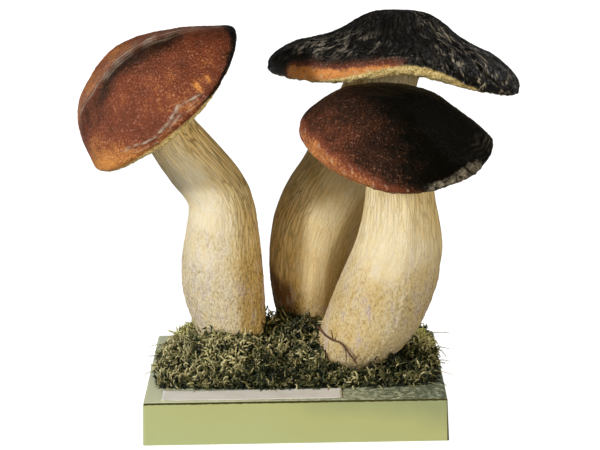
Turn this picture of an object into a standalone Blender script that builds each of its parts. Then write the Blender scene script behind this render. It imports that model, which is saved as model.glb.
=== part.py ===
"""Three porcini mushrooms standing in dried moss on a small green plinth, in metres, +Z up.

The origin is the centre of the plinth's underside, +X is to the viewer's right and +Y is away
from the viewer. Each mushroom grew as one piece, so it is one closed solid from cap to foot.
"""

import math

import bmesh
import bpy
from mathutils import Matrix, Vector

MM = 0.001
GAP = 0.3 * MM

# Plinth
PLINTH_WIDTH = 160 * MM
PLINTH_DEPTH = 120 * MM
PLINTH_HEIGHT = 23.2 * MM
PLINTH_EDGE_RADIUS = 1.2 * MM
PLINTH_EDGE_SEGMENTS = 3
PLINTH_DRAFT = 0.75 * MM

# Paper strip on the plinth's top, at the front left
LABEL_WIDTH = 95 * MM
LABEL_DEPTH = 16 * MM
LABEL_THICKNESS = 0.4 * MM
LABEL_LEFT = -70.5 * MM
LABEL_FRONT = -57.5 * MM

# Bed of dried moss, thin at the front and thick between the stems, in mm
MOSS_CENTRE = (0.5, 8.5)
MOSS_HALF_SIZE = (77.5, 49.5)
MOSS_EDGE_THICKNESS = 4
MOSS_FULL_THICKNESS = 16
MOSS_RISE_FROM_Y = -34
MOSS_RISE_TO_Y = -2
MOSS_SIDE_SHARE = 0.6
MOSS_CORNER_ROUNDING = 0.16
MOSS_EDGE_POWER = 6
MOSS_BUMP = 1.2
MOSS_BUMP_LENGTH = 19
MOSS_CLEARANCE = 0.5 * MM
MOSS_GRID = (30, 22)

# Thin twig lying across the front mushroom's foot, in mm
TWIG_RADIUS = 0.55
TWIG_ROUTE = [
    (12.5, -8.0, 47.8), (14.8, -14.2, 47.0), (17.0, -20.4, 46.2), (20.7, -25.6, 45.4),
    (24.3, -28.6, 45.0), (27.0, -30.2, 42.6), (29.4, -30.8, 39.1), (31.8, -31.1, 35.7),
    (33.6, -32.6, 32.9), (34.6, -34.6, 31.0),
]
TWIG_POINTS_PER_STRETCH = 2

# Rings and segments of a mushroom's mesh
SEGMENTS = 36
CAP_RINGS = 15
PORE_RINGS = 5
STEM_RINGS = 18

# Height of what stands on the plinth
FOOT_HEIGHT = PLINTH_HEIGHT + GAP

# Edges that turn by more than this stay sharp
SHARP_ANGLE = math.radians(40)

# Colour and roughness of each material
FINISHES = {
    "green_lacquer": ((0.44, 0.47, 0.19), 0.3),
    "label_paper": ((0.72, 0.70, 0.66), 0.7),
    "dried_moss": ((0.09, 0.08, 0.035), 0.9),
    "twig_bark": ((0.14, 0.07, 0.035), 0.8),
    "cap_skin": ((0.24, 0.08, 0.03), 0.5),
    "cap_skin_dark": ((0.035, 0.022, 0.014), 0.45),
}

# A cap's profile, from its top to the edge of the pores: share of its radius, share of its height
LEFT_PROFILE = [
    (0.0, 1.0), (0.3, 0.92), (0.55, 0.78), (0.78, 0.49), (0.93, 0.19),
    (1.0, 0.04), (0.985, -0.03), (0.95, -0.06),
]
FRONT_PROFILE = [
    (0.0, 1.0), (0.3, 0.98), (0.55, 0.77), (0.78, 0.45), (0.93, 0.2),
    (1.0, 0.0), (0.985, -0.08), (0.95, -0.12),
]
REAR_PROFILE = [
    (0.0, 1.0), (0.18, 0.96), (0.32, 0.84), (0.45, 0.65), (0.6, 0.51),
    (0.8, 0.38), (0.95, 0.18), (1.0, 0.03), (0.995, -0.1), (0.95, -0.15),
]

# Stem stations in mm, foot to neck: height, centre x, centre y, half width across, half width in depth,
# and the section's lean in degrees. The pores swell below the straight line from the cap's edge to the
# neck by pore_swell, in mm. Rim shares and rises are given at every 45 degrees, from the right
# (+X) towards the back (+Y).
MUSHROOMS = {
    "mushroom_left": {
        "finish": "cap_skin",
        "stem": [
            (23.5, -34.6, 16, 14.4, 14.4, 0), (43.7, -36.5, 16, 19.8, 19.8, 0),
            (61.5, -39, 15.5, 22.4, 21.8, 0), (80.3, -39.7, 14.5, 22.1, 21.8, 0),
            (98.1, -39.1, 12.5, 20, 20.3, 0), (112.9, -39.1, 10.5, 18, 18.3, -5),
            (123.8, -43.1, 9, 16.8, 17.3, -20), (140.1, -55.3, 7.1, 16.1, 16.8, -42),
            (151.5, -63, 5.1, 15.6, 16.3, -46), (164.3, -68.1, 3.6, 16.1, 16.3, -44),
        ],
        "cap_centre": (-67.6, 2.1, 174.2),
        "cap_lean": (-43, 18),
        "cap_radius": 51.4,
        "cap_height": 37.6,
        "top_shift": (-9.4, -2),
        "pore_swell": 3,
        "profile": LEFT_PROFILE,
        "rim_share": (1.06, 0.94, 1.04, 0.98, 1.0, 1.0, 0.95, 1.0),
        "rim_rise": (0, -1.5, 2.5, -1, 0.5, 2.5, 1.5, -2.5),
    },
    "mushroom_rear": {
        "finish": "cap_skin_dark",
        "stem": [
            (23.5, 8.3, 38, 15, 15, 0), (39, 8.3, 38.5, 18.2, 19, 0),
            (59.6, 8.4, 39.5, 21.7, 22, 0), (79, 10, 41, 24, 23, 0),
            (97, 15.2, 42.5, 26.3, 24, 0), (115.5, 24.1, 44.5, 27.8, 24, 0),
            (133, 33.5, 46.5, 25.5, 22.2, 0), (152, 42.1, 48, 23.6, 21.2, 0),
            (170, 49.4, 49, 20.9, 20.2, 2), (183, 54, 49.5, 20.2, 19.7, 4),
        ],
        "cap_centre": (64, 49, 179.7),
        "cap_lean": (3, -6),
        "cap_radius": 67.8,
        "cap_height": 33,
        "top_shift": (-2.5, 0),
        "pore_swell": -1,
        "profile": REAR_PROFILE,
        "rim_share": (0.93, 0.9, 0.82, 0.95, 1.12, 0.95, 0.8, 0.9),
        "rim_rise": (-7, -4, 0, 1, 0, -1.5, 5, -4.5),
    },
    "mushroom_front": {
        "finish": "cap_skin",
        "stem": [
            (23.5, 31.3, -6, 9, 11, 0), (28, 32.2, -6, 16, 16, 0),
            (34, 34.6, -6, 22.1, 21.6, 0), (45, 40.1, -6.5, 26.3, 25.6, 0),
            (57, 45.3, -7.5, 27.2, 26.4, 0), (73.6, 51.2, -9.5, 26.8, 26, 0),
            (83, 53.6, -11, 25.4, 25, 0), (94, 56.4, -13, 23.8, 23.3, 0),
            (105.3, 57.6, -15, 21.5, 21, 0), (117.4, 57.8, -17, 19.3, 19, 0),
            (130.6, 57.5, -19, 17.8, 17.3, 0), (145, 56.5, -21, 17.3, 17, 5),
        ],
        "cap_centre": (56, -22, 152.7),
        "cap_lean": (5, 12),
        "cap_radius": 51,
        "cap_height": 29.2,
        "top_shift": (-11.5, -1),
        "pore_swell": 3,
        "profile": FRONT_PROFILE,
        "rim_share": (0.98, 0.93, 0.86, 0.9, 1.02, 0.96, 0.93, 0.97),
        "rim_rise": (5, -0.5, -3.5, -0.5, 5, 0, -5, 0),
    },
}


def catmull_rom(before, start, end, after, share):
    """A smooth value a given share of the way from start to end."""
    slope_start = (end - before) / 2
    slope_end = (after - start) / 2
    square = share * share
    cube = square * share
    return (
        start * (2 * cube - 3 * square + 1)
        + slope_start * (cube - 2 * square + share)
        + end * (3 * square - 2 * cube)
        + slope_end * (cube - square)
    )


def along(stations, place):
    """The row of numbers at place, from 0 to 1, on a smooth line through the stations."""
    scaled = min(max(place, 0.0), 1.0) * (len(stations) - 1)
    index = min(int(scaled), len(stations) - 2)
    share = scaled - index
    before = stations[max(index - 1, 0)]
    after = stations[min(index + 2, len(stations) - 1)]
    return [
        catmull_rom(*values, share)
        for values in zip(before, stations[index], stations[index + 1], after)
    ]


def around(values, azimuth):
    """The value at an azimuth in radians, on a smooth closed line through evenly spaced values."""
    count = len(values)
    scaled = (azimuth / math.tau) % 1.0 * count
    index = int(scaled) % count
    share = scaled - int(scaled)
    return catmull_rom(
        values[index - 1], values[index], values[(index + 1) % count], values[(index + 2) % count], share
    )


def cap_matrix(mushroom):
    """From the cap's own frame, in mm, to the object's: the lean to the right, then towards the viewer."""
    lean_right, lean_front = (math.radians(angle) for angle in mushroom["cap_lean"])
    turn = Matrix.Rotation(lean_front, 4, "X") @ Matrix.Rotation(lean_right, 4, "Y")
    return Matrix.Translation(mushroom["cap_centre"]) @ turn


def cap_point(mushroom, place, azimuth):
    """A point in mm on the cap's skin, from the top at place 0 to the edge of the pores at place 1."""
    radius_share, height_share = along(mushroom["profile"], place)
    radius = mushroom["cap_radius"] * around(mushroom["rim_share"], azimuth) * radius_share
    rise = around(mushroom["rim_rise"], azimuth) * min(radius_share, 1.0) ** 2
    shift_x, shift_y = (shift * max(height_share, 0.0) for shift in mushroom["top_shift"])
    local = Vector((
        radius * math.cos(azimuth) + shift_x,
        radius * math.sin(azimuth) + shift_y,
        mushroom["cap_height"] * height_share + rise,
    ))
    return cap_matrix(mushroom) @ local


def stem_point(mushroom, place, azimuth):
    """A point in mm on the stem, from the neck at place 0 to the foot at place 1."""
    height, x, y, half_width, half_depth, lean = along(mushroom["stem"], 1.0 - place)
    section = Vector((half_width * math.cos(azimuth), half_depth * math.sin(azimuth), 0.0))
    section.rotate(Matrix.Rotation(math.radians(lean), 3, "Y"))
    return Vector((x, y, height)) + section


def pore_point(mushroom, place, azimuth):
    """A point in mm on the pores, from the cap's edge at place 0 to the neck at place 1."""
    edge = cap_point(mushroom, 1.0, azimuth)
    neck = stem_point(mushroom, 0.0, azimuth)
    swell = mushroom["pore_swell"] * math.sin(math.pi * place)
    return edge.lerp(neck, place) - cap_matrix(mushroom).col[2].to_3d() * swell


def mushroom_point(mushroom, ring, azimuth):
    """A point in mm on ring number ring, counted from the top of the cap to the middle of the foot."""
    if ring <= CAP_RINGS:
        return cap_point(mushroom, ring / CAP_RINGS, azimuth)
    if ring <= CAP_RINGS + PORE_RINGS:
        return pore_point(mushroom, (ring - CAP_RINGS) / PORE_RINGS, azimuth)
    if ring <= CAP_RINGS + PORE_RINGS + STEM_RINGS:
        return stem_point(mushroom, (ring - CAP_RINGS - PORE_RINGS) / STEM_RINGS, azimuth)
    height, x, y, *_ = mushroom["stem"][0]
    return Vector((x, y, height))


def make_material(name):
    """The material of that name, with its colour and roughness from the list of finishes."""
    colour, roughness = FINISHES[name]
    material = bpy.data.materials.new(name)
    material.use_nodes = True
    shader = material.node_tree.nodes["Principled BSDF"]
    shader.inputs["Base Color"].default_value = (*colour, 1.0)
    shader.inputs["Roughness"].default_value = roughness
    shader.inputs["Metallic"].default_value = 0.0
    return material


def add_object(name, bm, finish):
    """A new object from bm in one finish, with its normals pointing out."""
    bmesh.ops.recalc_face_normals(bm, faces=bm.faces)
    mesh = bpy.data.meshes.new(name)
    bm.to_mesh(mesh)
    bm.free()
    mesh.materials.append(make_material(finish))
    mesh.shade_smooth()
    mesh.set_sharp_from_angle(angle=SHARP_ANGLE)
    part = bpy.data.objects.new(name, mesh)
    bpy.context.scene.collection.objects.link(part)
    return part


def make_plinth():
    """A low block with rounded edges, slightly wider at the bottom."""
    bm = bmesh.new()
    bmesh.ops.create_cube(bm, size=1.0)
    for vert in bm.verts:
        spread = PLINTH_DRAFT if vert.co.z < 0 else 0.0
        vert.co.x *= PLINTH_WIDTH + 2 * spread
        vert.co.y *= PLINTH_DEPTH + 2 * spread
        vert.co.z = (vert.co.z + 0.5) * PLINTH_HEIGHT
    upper_edges = [edge for edge in bm.edges if max(vert.co.z for vert in edge.verts) > 0]
    bmesh.ops.bevel(
        bm, geom=upper_edges, offset=PLINTH_EDGE_RADIUS, segments=PLINTH_EDGE_SEGMENTS,
        profile=0.5, affect="EDGES", material=-1,
    )
    return add_object("plinth", bm, "green_lacquer")


def make_label():
    """A flat strip of paper lying on the plinth."""
    bm = bmesh.new()
    bmesh.ops.create_cube(bm, size=1.0)
    bmesh.ops.scale(bm, vec=(LABEL_WIDTH, LABEL_DEPTH, LABEL_THICKNESS), verts=bm.verts)
    centre = (
        LABEL_LEFT + LABEL_WIDTH / 2,
        LABEL_FRONT + LABEL_DEPTH / 2,
        PLINTH_HEIGHT + GAP + LABEL_THICKNESS / 2,
    )
    bmesh.ops.translate(bm, vec=centre, verts=bm.verts)
    return add_object("label", bm, "label_paper")


def make_mushroom(name, mushroom):
    """One closed solid: a globe's rings are moved onto the cap, the pores, the stem and the foot."""
    rings = CAP_RINGS + PORE_RINGS + STEM_RINGS + 1
    bm = bmesh.new()
    bmesh.ops.create_uvsphere(bm, u_segments=SEGMENTS, v_segments=rings, radius=1.0)
    for vert in bm.verts:
        ring = round(math.acos(max(-1.0, min(1.0, vert.co.z))) / math.pi * rings)
        azimuth = math.atan2(vert.co.y, vert.co.x)
        vert.co = mushroom_point(mushroom, ring, azimuth) * MM
    return add_object(name, bm, mushroom["finish"])


def moss_thickness(x, y):
    """The bed's thickness in mm at a place in mm."""
    share = min(max((y - MOSS_RISE_FROM_Y) / (MOSS_RISE_TO_Y - MOSS_RISE_FROM_Y), 0.0), 1.0)
    rise = share * share * (3 - 2 * share)
    across = abs(x - MOSS_CENTRE[0]) / MOSS_HALF_SIZE[0]
    side_share = 1 - (1 - MOSS_SIDE_SHARE) * across * across
    behind = max(y - MOSS_CENTRE[1], 0.0) / MOSS_HALF_SIZE[1]
    edge_share = (1 - across**MOSS_EDGE_POWER) * (1 - behind**MOSS_EDGE_POWER)
    waves = math.sin(x / MOSS_BUMP_LENGTH * math.tau) * math.cos(y / MOSS_BUMP_LENGTH * math.tau)
    mound = (MOSS_FULL_THICKNESS - MOSS_EDGE_THICKNESS) * side_share + MOSS_BUMP * waves
    return MOSS_EDGE_THICKNESS + mound * rise * edge_share


def make_moss(mushrooms):
    """A low mound with rounded corners, cut round the stems that stand in it."""
    bm = bmesh.new()
    bmesh.ops.create_grid(bm, x_segments=MOSS_GRID[0], y_segments=MOSS_GRID[1], size=1.0)
    rim = [edge for edge in bm.edges if edge.is_boundary]
    skirt = bmesh.ops.extrude_edge_only(bm, edges=rim)["geom"]
    lower_verts = {item for item in skirt if isinstance(item, bmesh.types.BMVert)}
    lower_edges = [item for item in skirt if isinstance(item, bmesh.types.BMEdge)]
    bmesh.ops.contextual_create(bm, geom=lower_edges)
    for vert in bm.verts:
        across, deep = vert.co.xy
        x = MOSS_CENTRE[0] + MOSS_HALF_SIZE[0] * across * math.sqrt(1 - MOSS_CORNER_ROUNDING * deep**2)
        y = MOSS_CENTRE[1] + MOSS_HALF_SIZE[1] * deep * math.sqrt(1 - MOSS_CORNER_ROUNDING * across**2)
        thickness = 0.0 if vert in lower_verts else moss_thickness(x, y) * MM
        vert.co = (x * MM, y * MM, FOOT_HEIGHT + thickness)
    moss = add_object("moss", bm, "dried_moss")
    for mushroom in mushrooms:
        cutter = mushroom.copy()
        cutter.name = "clearance_" + mushroom.name
        cutter.hide_render = True
        cutter.display_type = "WIRE"
        bpy.context.scene.collection.objects.link(cutter)
        swell = cutter.modifiers.new("clearance", "DISPLACE")
        swell.mid_level = 0.0
        swell.strength = MOSS_CLEARANCE
        cut = moss.modifiers.new("cut_" + mushroom.name, "BOOLEAN")
        cut.operation = "DIFFERENCE"
        cut.object = cutter
    return moss


def make_twig():
    """A thin twig on a smooth line through its route, with closed ends."""
    curve = bpy.data.curves.new("twig", "CURVE")
    curve.dimensions = "3D"
    curve.bevel_depth = TWIG_RADIUS * MM
    curve.bevel_resolution = 1
    curve.use_fill_caps = True
    count = (len(TWIG_ROUTE) - 1) * TWIG_POINTS_PER_STRETCH + 1
    spline = curve.splines.new("POLY")
    spline.points.add(count - 1)
    for index, point in enumerate(spline.points):
        x, y, z = along(TWIG_ROUTE, index / (count - 1))
        point.co = (x * MM, y * MM, z * MM, 1.0)
    curve.materials.append(make_material("twig_bark"))
    twig = bpy.data.objects.new("twig", curve)
    bpy.context.scene.collection.objects.link(twig)
    return twig


def main():
    for old in list(bpy.data.objects):
        bpy.data.objects.remove(old)
    make_plinth()
    make_label()
    mushrooms = [make_mushroom(name, mushroom) for name, mushroom in MUSHROOMS.items()]
    make_moss(mushrooms)
    make_twig()


main()
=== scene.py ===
# Looks of a porcini group: three mushrooms in dried moss on a pale green plinth.
# Tables of shapes are in mm, as in the construction, and MM turns them into metres.

import math
import random

import bmesh
import bpy
import numpy as np
from bpy.props import FloatProperty, FloatVectorProperty, IntProperty, PointerProperty
from mathutils import Matrix, Vector, noise


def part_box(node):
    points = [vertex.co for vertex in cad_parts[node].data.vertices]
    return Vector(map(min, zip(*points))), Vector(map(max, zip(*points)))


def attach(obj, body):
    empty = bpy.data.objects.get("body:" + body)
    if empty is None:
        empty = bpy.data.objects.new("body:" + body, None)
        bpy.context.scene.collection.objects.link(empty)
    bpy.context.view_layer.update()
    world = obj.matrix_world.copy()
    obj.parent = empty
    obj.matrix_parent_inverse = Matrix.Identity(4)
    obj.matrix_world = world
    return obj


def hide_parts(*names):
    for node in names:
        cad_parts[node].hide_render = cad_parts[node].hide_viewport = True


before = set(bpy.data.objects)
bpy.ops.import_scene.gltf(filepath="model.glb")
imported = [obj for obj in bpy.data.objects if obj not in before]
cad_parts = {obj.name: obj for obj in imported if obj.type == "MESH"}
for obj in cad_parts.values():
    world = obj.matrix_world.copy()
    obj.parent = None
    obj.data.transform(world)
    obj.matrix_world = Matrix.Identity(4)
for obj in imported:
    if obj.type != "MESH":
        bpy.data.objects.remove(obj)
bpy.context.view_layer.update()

bl_info = {
    "name": "Porcini Group",
    "version": (1, 0, 0),
    "blender": (4, 5, 0),
    "location": "View3D > Sidebar > Porcini",
    "description": "Builds three porcini in dried moss on a green plinth, with their finishes",
    "category": "Object",
}

MM = 0.001

# Camera, fitted to the plinth's corners
CAMERA_PLACE = (0.010, -1.060, 0.372)
CAMERA_PITCH = math.radians(14.23)
CAMERA_YAW = math.radians(-0.33)
CAMERA_ROLL = math.radians(-1.07)
CAMERA_LENS = 120.66
CAMERA_SENSOR = 36.0

# Key light, fitted to the shadows on the stems: its turn from the left towards the viewer, and its height
KEY_TURN = math.radians(33)
KEY_HEIGHT = math.radians(23)
KEY_DIRECTION = (
    -math.cos(KEY_TURN) * math.cos(KEY_HEIGHT), -math.sin(KEY_TURN) * math.cos(KEY_HEIGHT),
    math.sin(KEY_HEIGHT),
)

# Place of each light: its direction from the point that they all face, its distance and its size in metres
LIGHT_TARGET = (0, 0, 0.11)
KEY_PLACE = (KEY_DIRECTION, 1.6, 0.16)
FILL_PLACE = ((0.62, -1.0, 0.12), 2.0, 1.6)
BACK_LIGHT_PLACE = ((0.75, 0.55, 0.45), 1.6, 0.2)
REAR_FILL_PLACE = ((-0.1, 1.0, 0.1), 2.0, 1.6)

# Floor: half its side in metres, and the colour of its faint clouds
FLOOR_HALF_SIZE = 8.0
FLOOR_CLOUDS = (0.36, 0.36, 0.36)

# Rings of a mushroom's mesh over the cap's skin, the pores, the stem and the sole
CAP_RINGS = 110
PORE_RINGS = 20
STEM_RINGS = 122
SOLE_RINGS = 4

# Patterns run down a stem and out over a cap, and are this much longer than they are wide
FIBRE_STRETCH = 5.0
STEM_PATTERN_RADIUS = 20.0
CAP_PATTERN_RADIUS = 40.0
CAP_PATTERN_LENGTH = 80.0

# How far apart in the field of noise the patterns of two seeds lie
SEED_SPACING = 13.7

# A cap's profile, from its top to the edge of the pores: share of its radius, share of its height
LEFT_PROFILE = [
    (0.0, 1.0), (0.3, 0.92), (0.55, 0.78), (0.78, 0.49), (0.93, 0.19),
    (1.0, 0.04), (0.985, -0.03), (0.95, -0.06),
]
FRONT_PROFILE = [
    (0.0, 1.0), (0.3, 0.98), (0.55, 0.77), (0.78, 0.45), (0.93, 0.2),
    (1.0, 0.0), (0.985, -0.08), (0.95, -0.12),
]
REAR_PROFILE = [
    (0.0, 1.0), (0.18, 0.96), (0.32, 0.84), (0.45, 0.65), (0.6, 0.51),
    (0.8, 0.38), (0.95, 0.18), (1.0, 0.03), (0.995, -0.1), (0.95, -0.15),
]

# Plinth: its top, where the dark line along its front edge and the painted shade down its right end begin,
# how wide that line is along the top edge, how far down the top's paler colour, a painted sheen, goes, and
# how far to each side its painted shade changes
PLINTH_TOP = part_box("plinth")[1].z / MM
PLINTH_FRONT = -59.4
PLINTH_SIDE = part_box("plinth")[1].x / MM - 1.0
EDGE_LINE_WIDTH = 1.5
TOP_FACE_DEPTH = 0.2
SHADE_REACH = 70.0

# Label: cells of its mesh, its thickness and how far it lies above the plinth
LABEL_GRID = (70, 14)
LABEL_THICKNESS = 0.12
LABEL_LIFT = 0.12

# Bed of moss, as in the construction, and the cells, the shrinkage and the skirt of its mat
MOSS_CENTRE = (0.5, 8.5)
MOSS_HALF_SIZE = (77.5, 49.5)
MOSS_CORNER_ROUNDING = 0.16
MOSS_RISE = (-34, -2)
MAT_GRID = (130, 88)
MAT_SHRINK = 0.98
MAT_SKIRT_HEIGHT = 0.3

# Height of the mat at the front of the plinth, and how much higher it is at the back
MAT_FRONT_HEIGHT = 2.6
MAT_CLIMB = 8.5

# Left rear corner of the plinth, where the moss draws back: centre x, centre y, width, and by which share
BARE_CORNER = (-76, 56, 26)
BARE_CORNER_SHARE = 0.14

# Feet of the stems where they come out of the moss: centre x, centre y, half width, half depth
FEET = [(-36, 16, 19, 19), (8.3, 38.5, 18.5, 19), (35.5, -6.2, 22.5, 22)]

# Thick places of the moss: centre x, centre y, width, extra height
TUFTS = [
    (-1, 11, 9, 14), (10, 13, 7, 12), (-14, 20, 8, 10), (-6, 24, 8, 8), (70, 17, 9, 7), (66, 2, 9, 5),
    (-52, -2, 9, 9), (-40, -6, 9, 11), (-27, -2, 9, 9), (14, -14, 7, 6), (60, 30, 12, 5), (-68, 38, 8, 3),
]

# Places where the moss is paler or darker: centre x, centre y, width, depth and the change of its hue. The
# dark spots along the front edge are painted shade
HUE_SPOTS = [
    (-42, -6, 20, 20, 0.22), (-2, 16, 14, 14, -0.2), (-6, -32, 34, 13, -0.3), (56, -22, 26, 20, -0.3),
]

# Fresh, yellow-green places: centre x, centre y and width. Elsewhere no shoot is beyond the hue of straw
FRESH_TUFTS = [(-66, 40, 13), (70, 20, 9)]
STRAW_HUE = 0.76

# Long stalks: where each leaves the moss, its heading and climb in degrees, and its length
STALKS = [
    (66, 14, 15, 28, 22), (70, 6, -10, 18, 16), (71, -22, -20, 25, 15), (69, -34, -35, 12, 14),
    (74, -10, 10, 32, 11), (62, 34, 35, 40, 14), (-70, 22, 170, 25, 13), (-73, 8, 200, 15, 10),
    (-72, -14, 185, 20, 12), (-70, -30, 215, 8, 13), (-52, -38, 250, 5, 9), (-12, -39, 285, 4, 9),
    (18, -39, 265, 6, 10), (44, -38, 300, 5, 10), (5, 14, 75, 62, 17), (-3, 12, 120, 70, 13),
    (12, 10, 40, 55, 14), (-14, 20, 100, 66, 12), (20, -22, 230, 30, 9), (-30, -24, 240, 28, 9),
]
STALK_RADIUS = 0.42
STALK_STEPS = 6
STALK_SEED = 11

# Curled leaves: radii from root to tip of one that is 1 mm long, how far they curl in radians, their lengths
# from the shortest to the longest, and which share of them clings to the stems: one in so many
CURL_RADII = (0.06, 0.1, 0.09, 0.03)
CURL_BENDS = (1.4, 2.4, 3.4)
CURL_SIZES = (2.6, 6.6)
CLINGING_EVERY = 5

# Fronds: length, radii and bends of the template, and the number and radii of the leaves along it
FROND_LENGTH = 10.0
FROND_RADII = (0.28, 0.3, 0.26, 0.22, 0.15, 0.03)
FROND_BENDS = (1.2, 2.0, 2.8)
FROND_LEAVES = 11
LEAF_RADII = (0.2, 0.24, 0.02)
FROND_SEED = 7

# Thin twig across the front mushroom's foot, as in the construction, with its shoots and a twig beside it
TWIG_ROUTE = [
    (12.5, -8.0, 47.8), (14.8, -14.2, 47.0), (17.0, -20.4, 46.2), (20.7, -25.6, 45.4),
    (24.3, -28.6, 45.0), (27.0, -30.2, 42.6), (29.4, -30.8, 39.1), (31.8, -31.1, 35.7),
    (33.6, -32.6, 32.9), (34.6, -34.6, 31.0),
]
TWIG_SHOOTS = [
    [(20.5, -25.2, 45.3), (20.3, -26.3, 48.5), (19.6, -26.6, 51.4)],
    [(27.0, -30.4, 42.4), (27.6, -31.2, 38.5), (27.4, -31.8, 34.4)],
    [(31.8, -31.3, 35.6), (33.2, -31.9, 37.4), (34.9, -32.4, 38.6)],
    [(12.2, -9.8, 40.9), (15.2, -18.2, 38.0), (18.0, -22.5, 34.5), (19.4, -25.0, 32.4)],
]
TWIG_RADIUS = 0.62
TWIG_TAPER = 0.22
TWIG_KNOT = 0.22
TWIG_KNOT_EVERY = 8
SHOOT_RADIUS = 0.42
SHOOT_TAPER = 0.26


def rise(values, low, high):
    """A smooth step from 0 at low to 1 at high."""
    share = np.clip((values - low) / (high - low), 0.0, 1.0)
    return share * share * (3 - 2 * share)


def hump(values, centre, width):
    """A smooth hump of 1 at centre that fades over width."""
    return np.exp(-(((values - centre) / width) ** 2))


def turn_from(turns, degrees):
    """How far each turn is from a direction, from -180 to 180 degrees."""
    return (turns - degrees + 180.0) % 360.0 - 180.0


def by_turn(turns, table):
    """A value that changes round a cap, from a table of (turn in degrees, value)."""
    degrees, values = zip(*table)
    return np.interp(turns, degrees, values, period=360)


def catmull_rom(before, start, end, after, share):
    """Smooth values a given share of the way from start to end."""
    slope_start = (end - before) / 2
    slope_end = (after - start) / 2
    square = share * share
    cube = square * share
    return (
        start * (2 * cube - 3 * square + 1)
        + slope_start * (cube - 2 * square + share)
        + end * (3 * square - 2 * cube)
        + slope_end * (cube - square)
    )


def along(stations, places):
    """The columns of numbers at places, from 0 to 1, on a smooth line through the stations."""
    table = np.array(stations, float)
    scaled = np.clip(places, 0.0, 1.0) * (len(table) - 1)
    index = np.minimum(scaled.astype(int), len(table) - 2)
    before = table[np.maximum(index - 1, 0)]
    after = table[np.minimum(index + 2, len(table) - 1)]
    return catmull_rom(before, table[index], table[index + 1], after, (scaled - index)[:, None]).T


def around(values, azimuths):
    """The values at azimuths in radians, on a smooth closed line through evenly spaced values."""
    ring = np.array(values, float)
    count = len(ring)
    scaled = (azimuths / math.tau) % 1.0 * count
    index = scaled.astype(int) % count
    share = scaled - np.floor(scaled)
    return catmull_rom(
        ring[index - 1], ring[index], ring[(index + 1) % count], ring[(index + 2) % count], share
    )


def cap_matrix(mushroom):
    """From the cap's own frame, in mm, to the object's: the lean to the right, then towards the viewer."""
    lean_right, lean_front = (math.radians(angle) for angle in mushroom["cap_lean"])
    turn = Matrix.Rotation(lean_front, 4, "X") @ Matrix.Rotation(lean_right, 4, "Y")
    return Matrix.Translation(mushroom["cap_centre"]) @ turn


def cap_local(mushroom, places, azimuths):
    """Points in the cap's own frame, from its top at place 0 to the edge of the pores at place 1."""
    radius_share, height_share = along(mushroom["profile"], places)
    radius = mushroom["cap_radius"] * around(mushroom["rim_share"], azimuths) * radius_share
    lift = around(mushroom["rim_rise"], azimuths) * np.minimum(radius_share, 1.0) ** 2
    shift_x, shift_y = (shift * np.maximum(height_share, 0.0) for shift in mushroom["top_shift"])
    return np.stack([
        radius * np.cos(azimuths) + shift_x,
        radius * np.sin(azimuths) + shift_y,
        mushroom["cap_height"] * height_share + lift,
    ], axis=-1)


def stem_points(mushroom, places, azimuths):
    """Points on the stem, from the neck at place 0 to the foot at place 1."""
    height, x, y, half_width, half_depth, lean = along(mushroom["stem"], 1.0 - places)
    across = half_width * np.cos(azimuths)
    lean = np.radians(lean)
    return np.stack([
        x + across * np.cos(lean),
        y + half_depth * np.sin(azimuths),
        height - across * np.sin(lean),
    ], axis=-1)


def skin_points(mushroom, stations, azimuths):
    """Points on a mushroom's smooth skin. Stations run from 0 at the top of the cap through 1 at its edge,
    2 at the neck and 3 at the foot's edge to 4 at the middle of the foot."""
    matrix = np.array(cap_matrix(mushroom))
    cap = cap_local(mushroom, np.clip(stations, 0, 1), azimuths) @ matrix[:3, :3].T + matrix[:3, 3]
    stem = stem_points(mushroom, np.clip(stations - 2, 0, 1), azimuths)
    pore_share = np.clip(stations - 1, 0, 1)[:, None]
    swell = mushroom["pore_swell"] * np.sin(math.pi * pore_share) * matrix[:3, 2]
    pores = cap + (stem - cap) * pore_share - swell
    height, x, y = mushroom["stem"][0][:3]
    sole = stem + (np.array((x, y, height)) - stem) * np.clip(stations - 3, 0, 1)[:, None]
    return np.where(stations[:, None] <= 2, pores, sole)


def skin_normals(mushroom, stations, azimuths):
    """Outward directions of the smooth skin."""
    step = 0.003
    inside = np.clip(stations, 2 * step, 4 - 2 * step)
    down = skin_points(mushroom, inside + step, azimuths) - skin_points(mushroom, inside - step, azimuths)
    across = skin_points(mushroom, inside, azimuths + step) - skin_points(mushroom, inside, azimuths - step)
    normals = np.cross(down, across)
    return normals / np.linalg.norm(normals, axis=1)[:, None]


def even_places(points_of, count):
    """Places from 0 to 1 that divide a line on a mushroom into count equal lengths."""
    places = np.linspace(0.0, 1.0, 400)
    front = np.full_like(places, 1.5 * math.pi)
    line = points_of(places, front)
    lengths = np.concatenate([[0.0], np.cumsum(np.linalg.norm(np.diff(line, axis=0), axis=1))])
    return np.interp(np.linspace(0.0, lengths[-1], count + 1), lengths, places), lengths[-1]


def noise_at(points, size, seed):
    """Smooth noise from -1 to 1 at points, with lumps of a given size."""
    scaled = points / size + seed * SEED_SPACING
    return np.array([noise.noise(point) for point in scaled.tolist()])


def flow_points(turns, lengths, radius, stretch):
    """Coordinates for a pattern that runs down a surface: round it in mm, and stretched along it."""
    azimuths = np.radians(turns)
    return np.stack([radius * np.cos(azimuths), radius * np.sin(azimuths), lengths / stretch], axis=-1)


def creases(field, width):
    """Narrow grooves, 1 at their bottom, where a noise field passes through zero."""
    return np.clip(1.0 - np.abs(field) / width, 0.0, 1.0) ** 1.5


def pebbled(local, seed):
    """Relief in mm of a cap's soft lumps and the fine grain of its skin."""
    lumps = 0.6 * noise_at(local, 26, seed) + 0.35 * noise_at(local, 11, seed + 1)
    grain = 0.2 * noise_at(local, 2.6, seed + 2) + 0.17 * noise_at(local, 1.6, seed + 3)
    return lumps + grain


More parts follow.
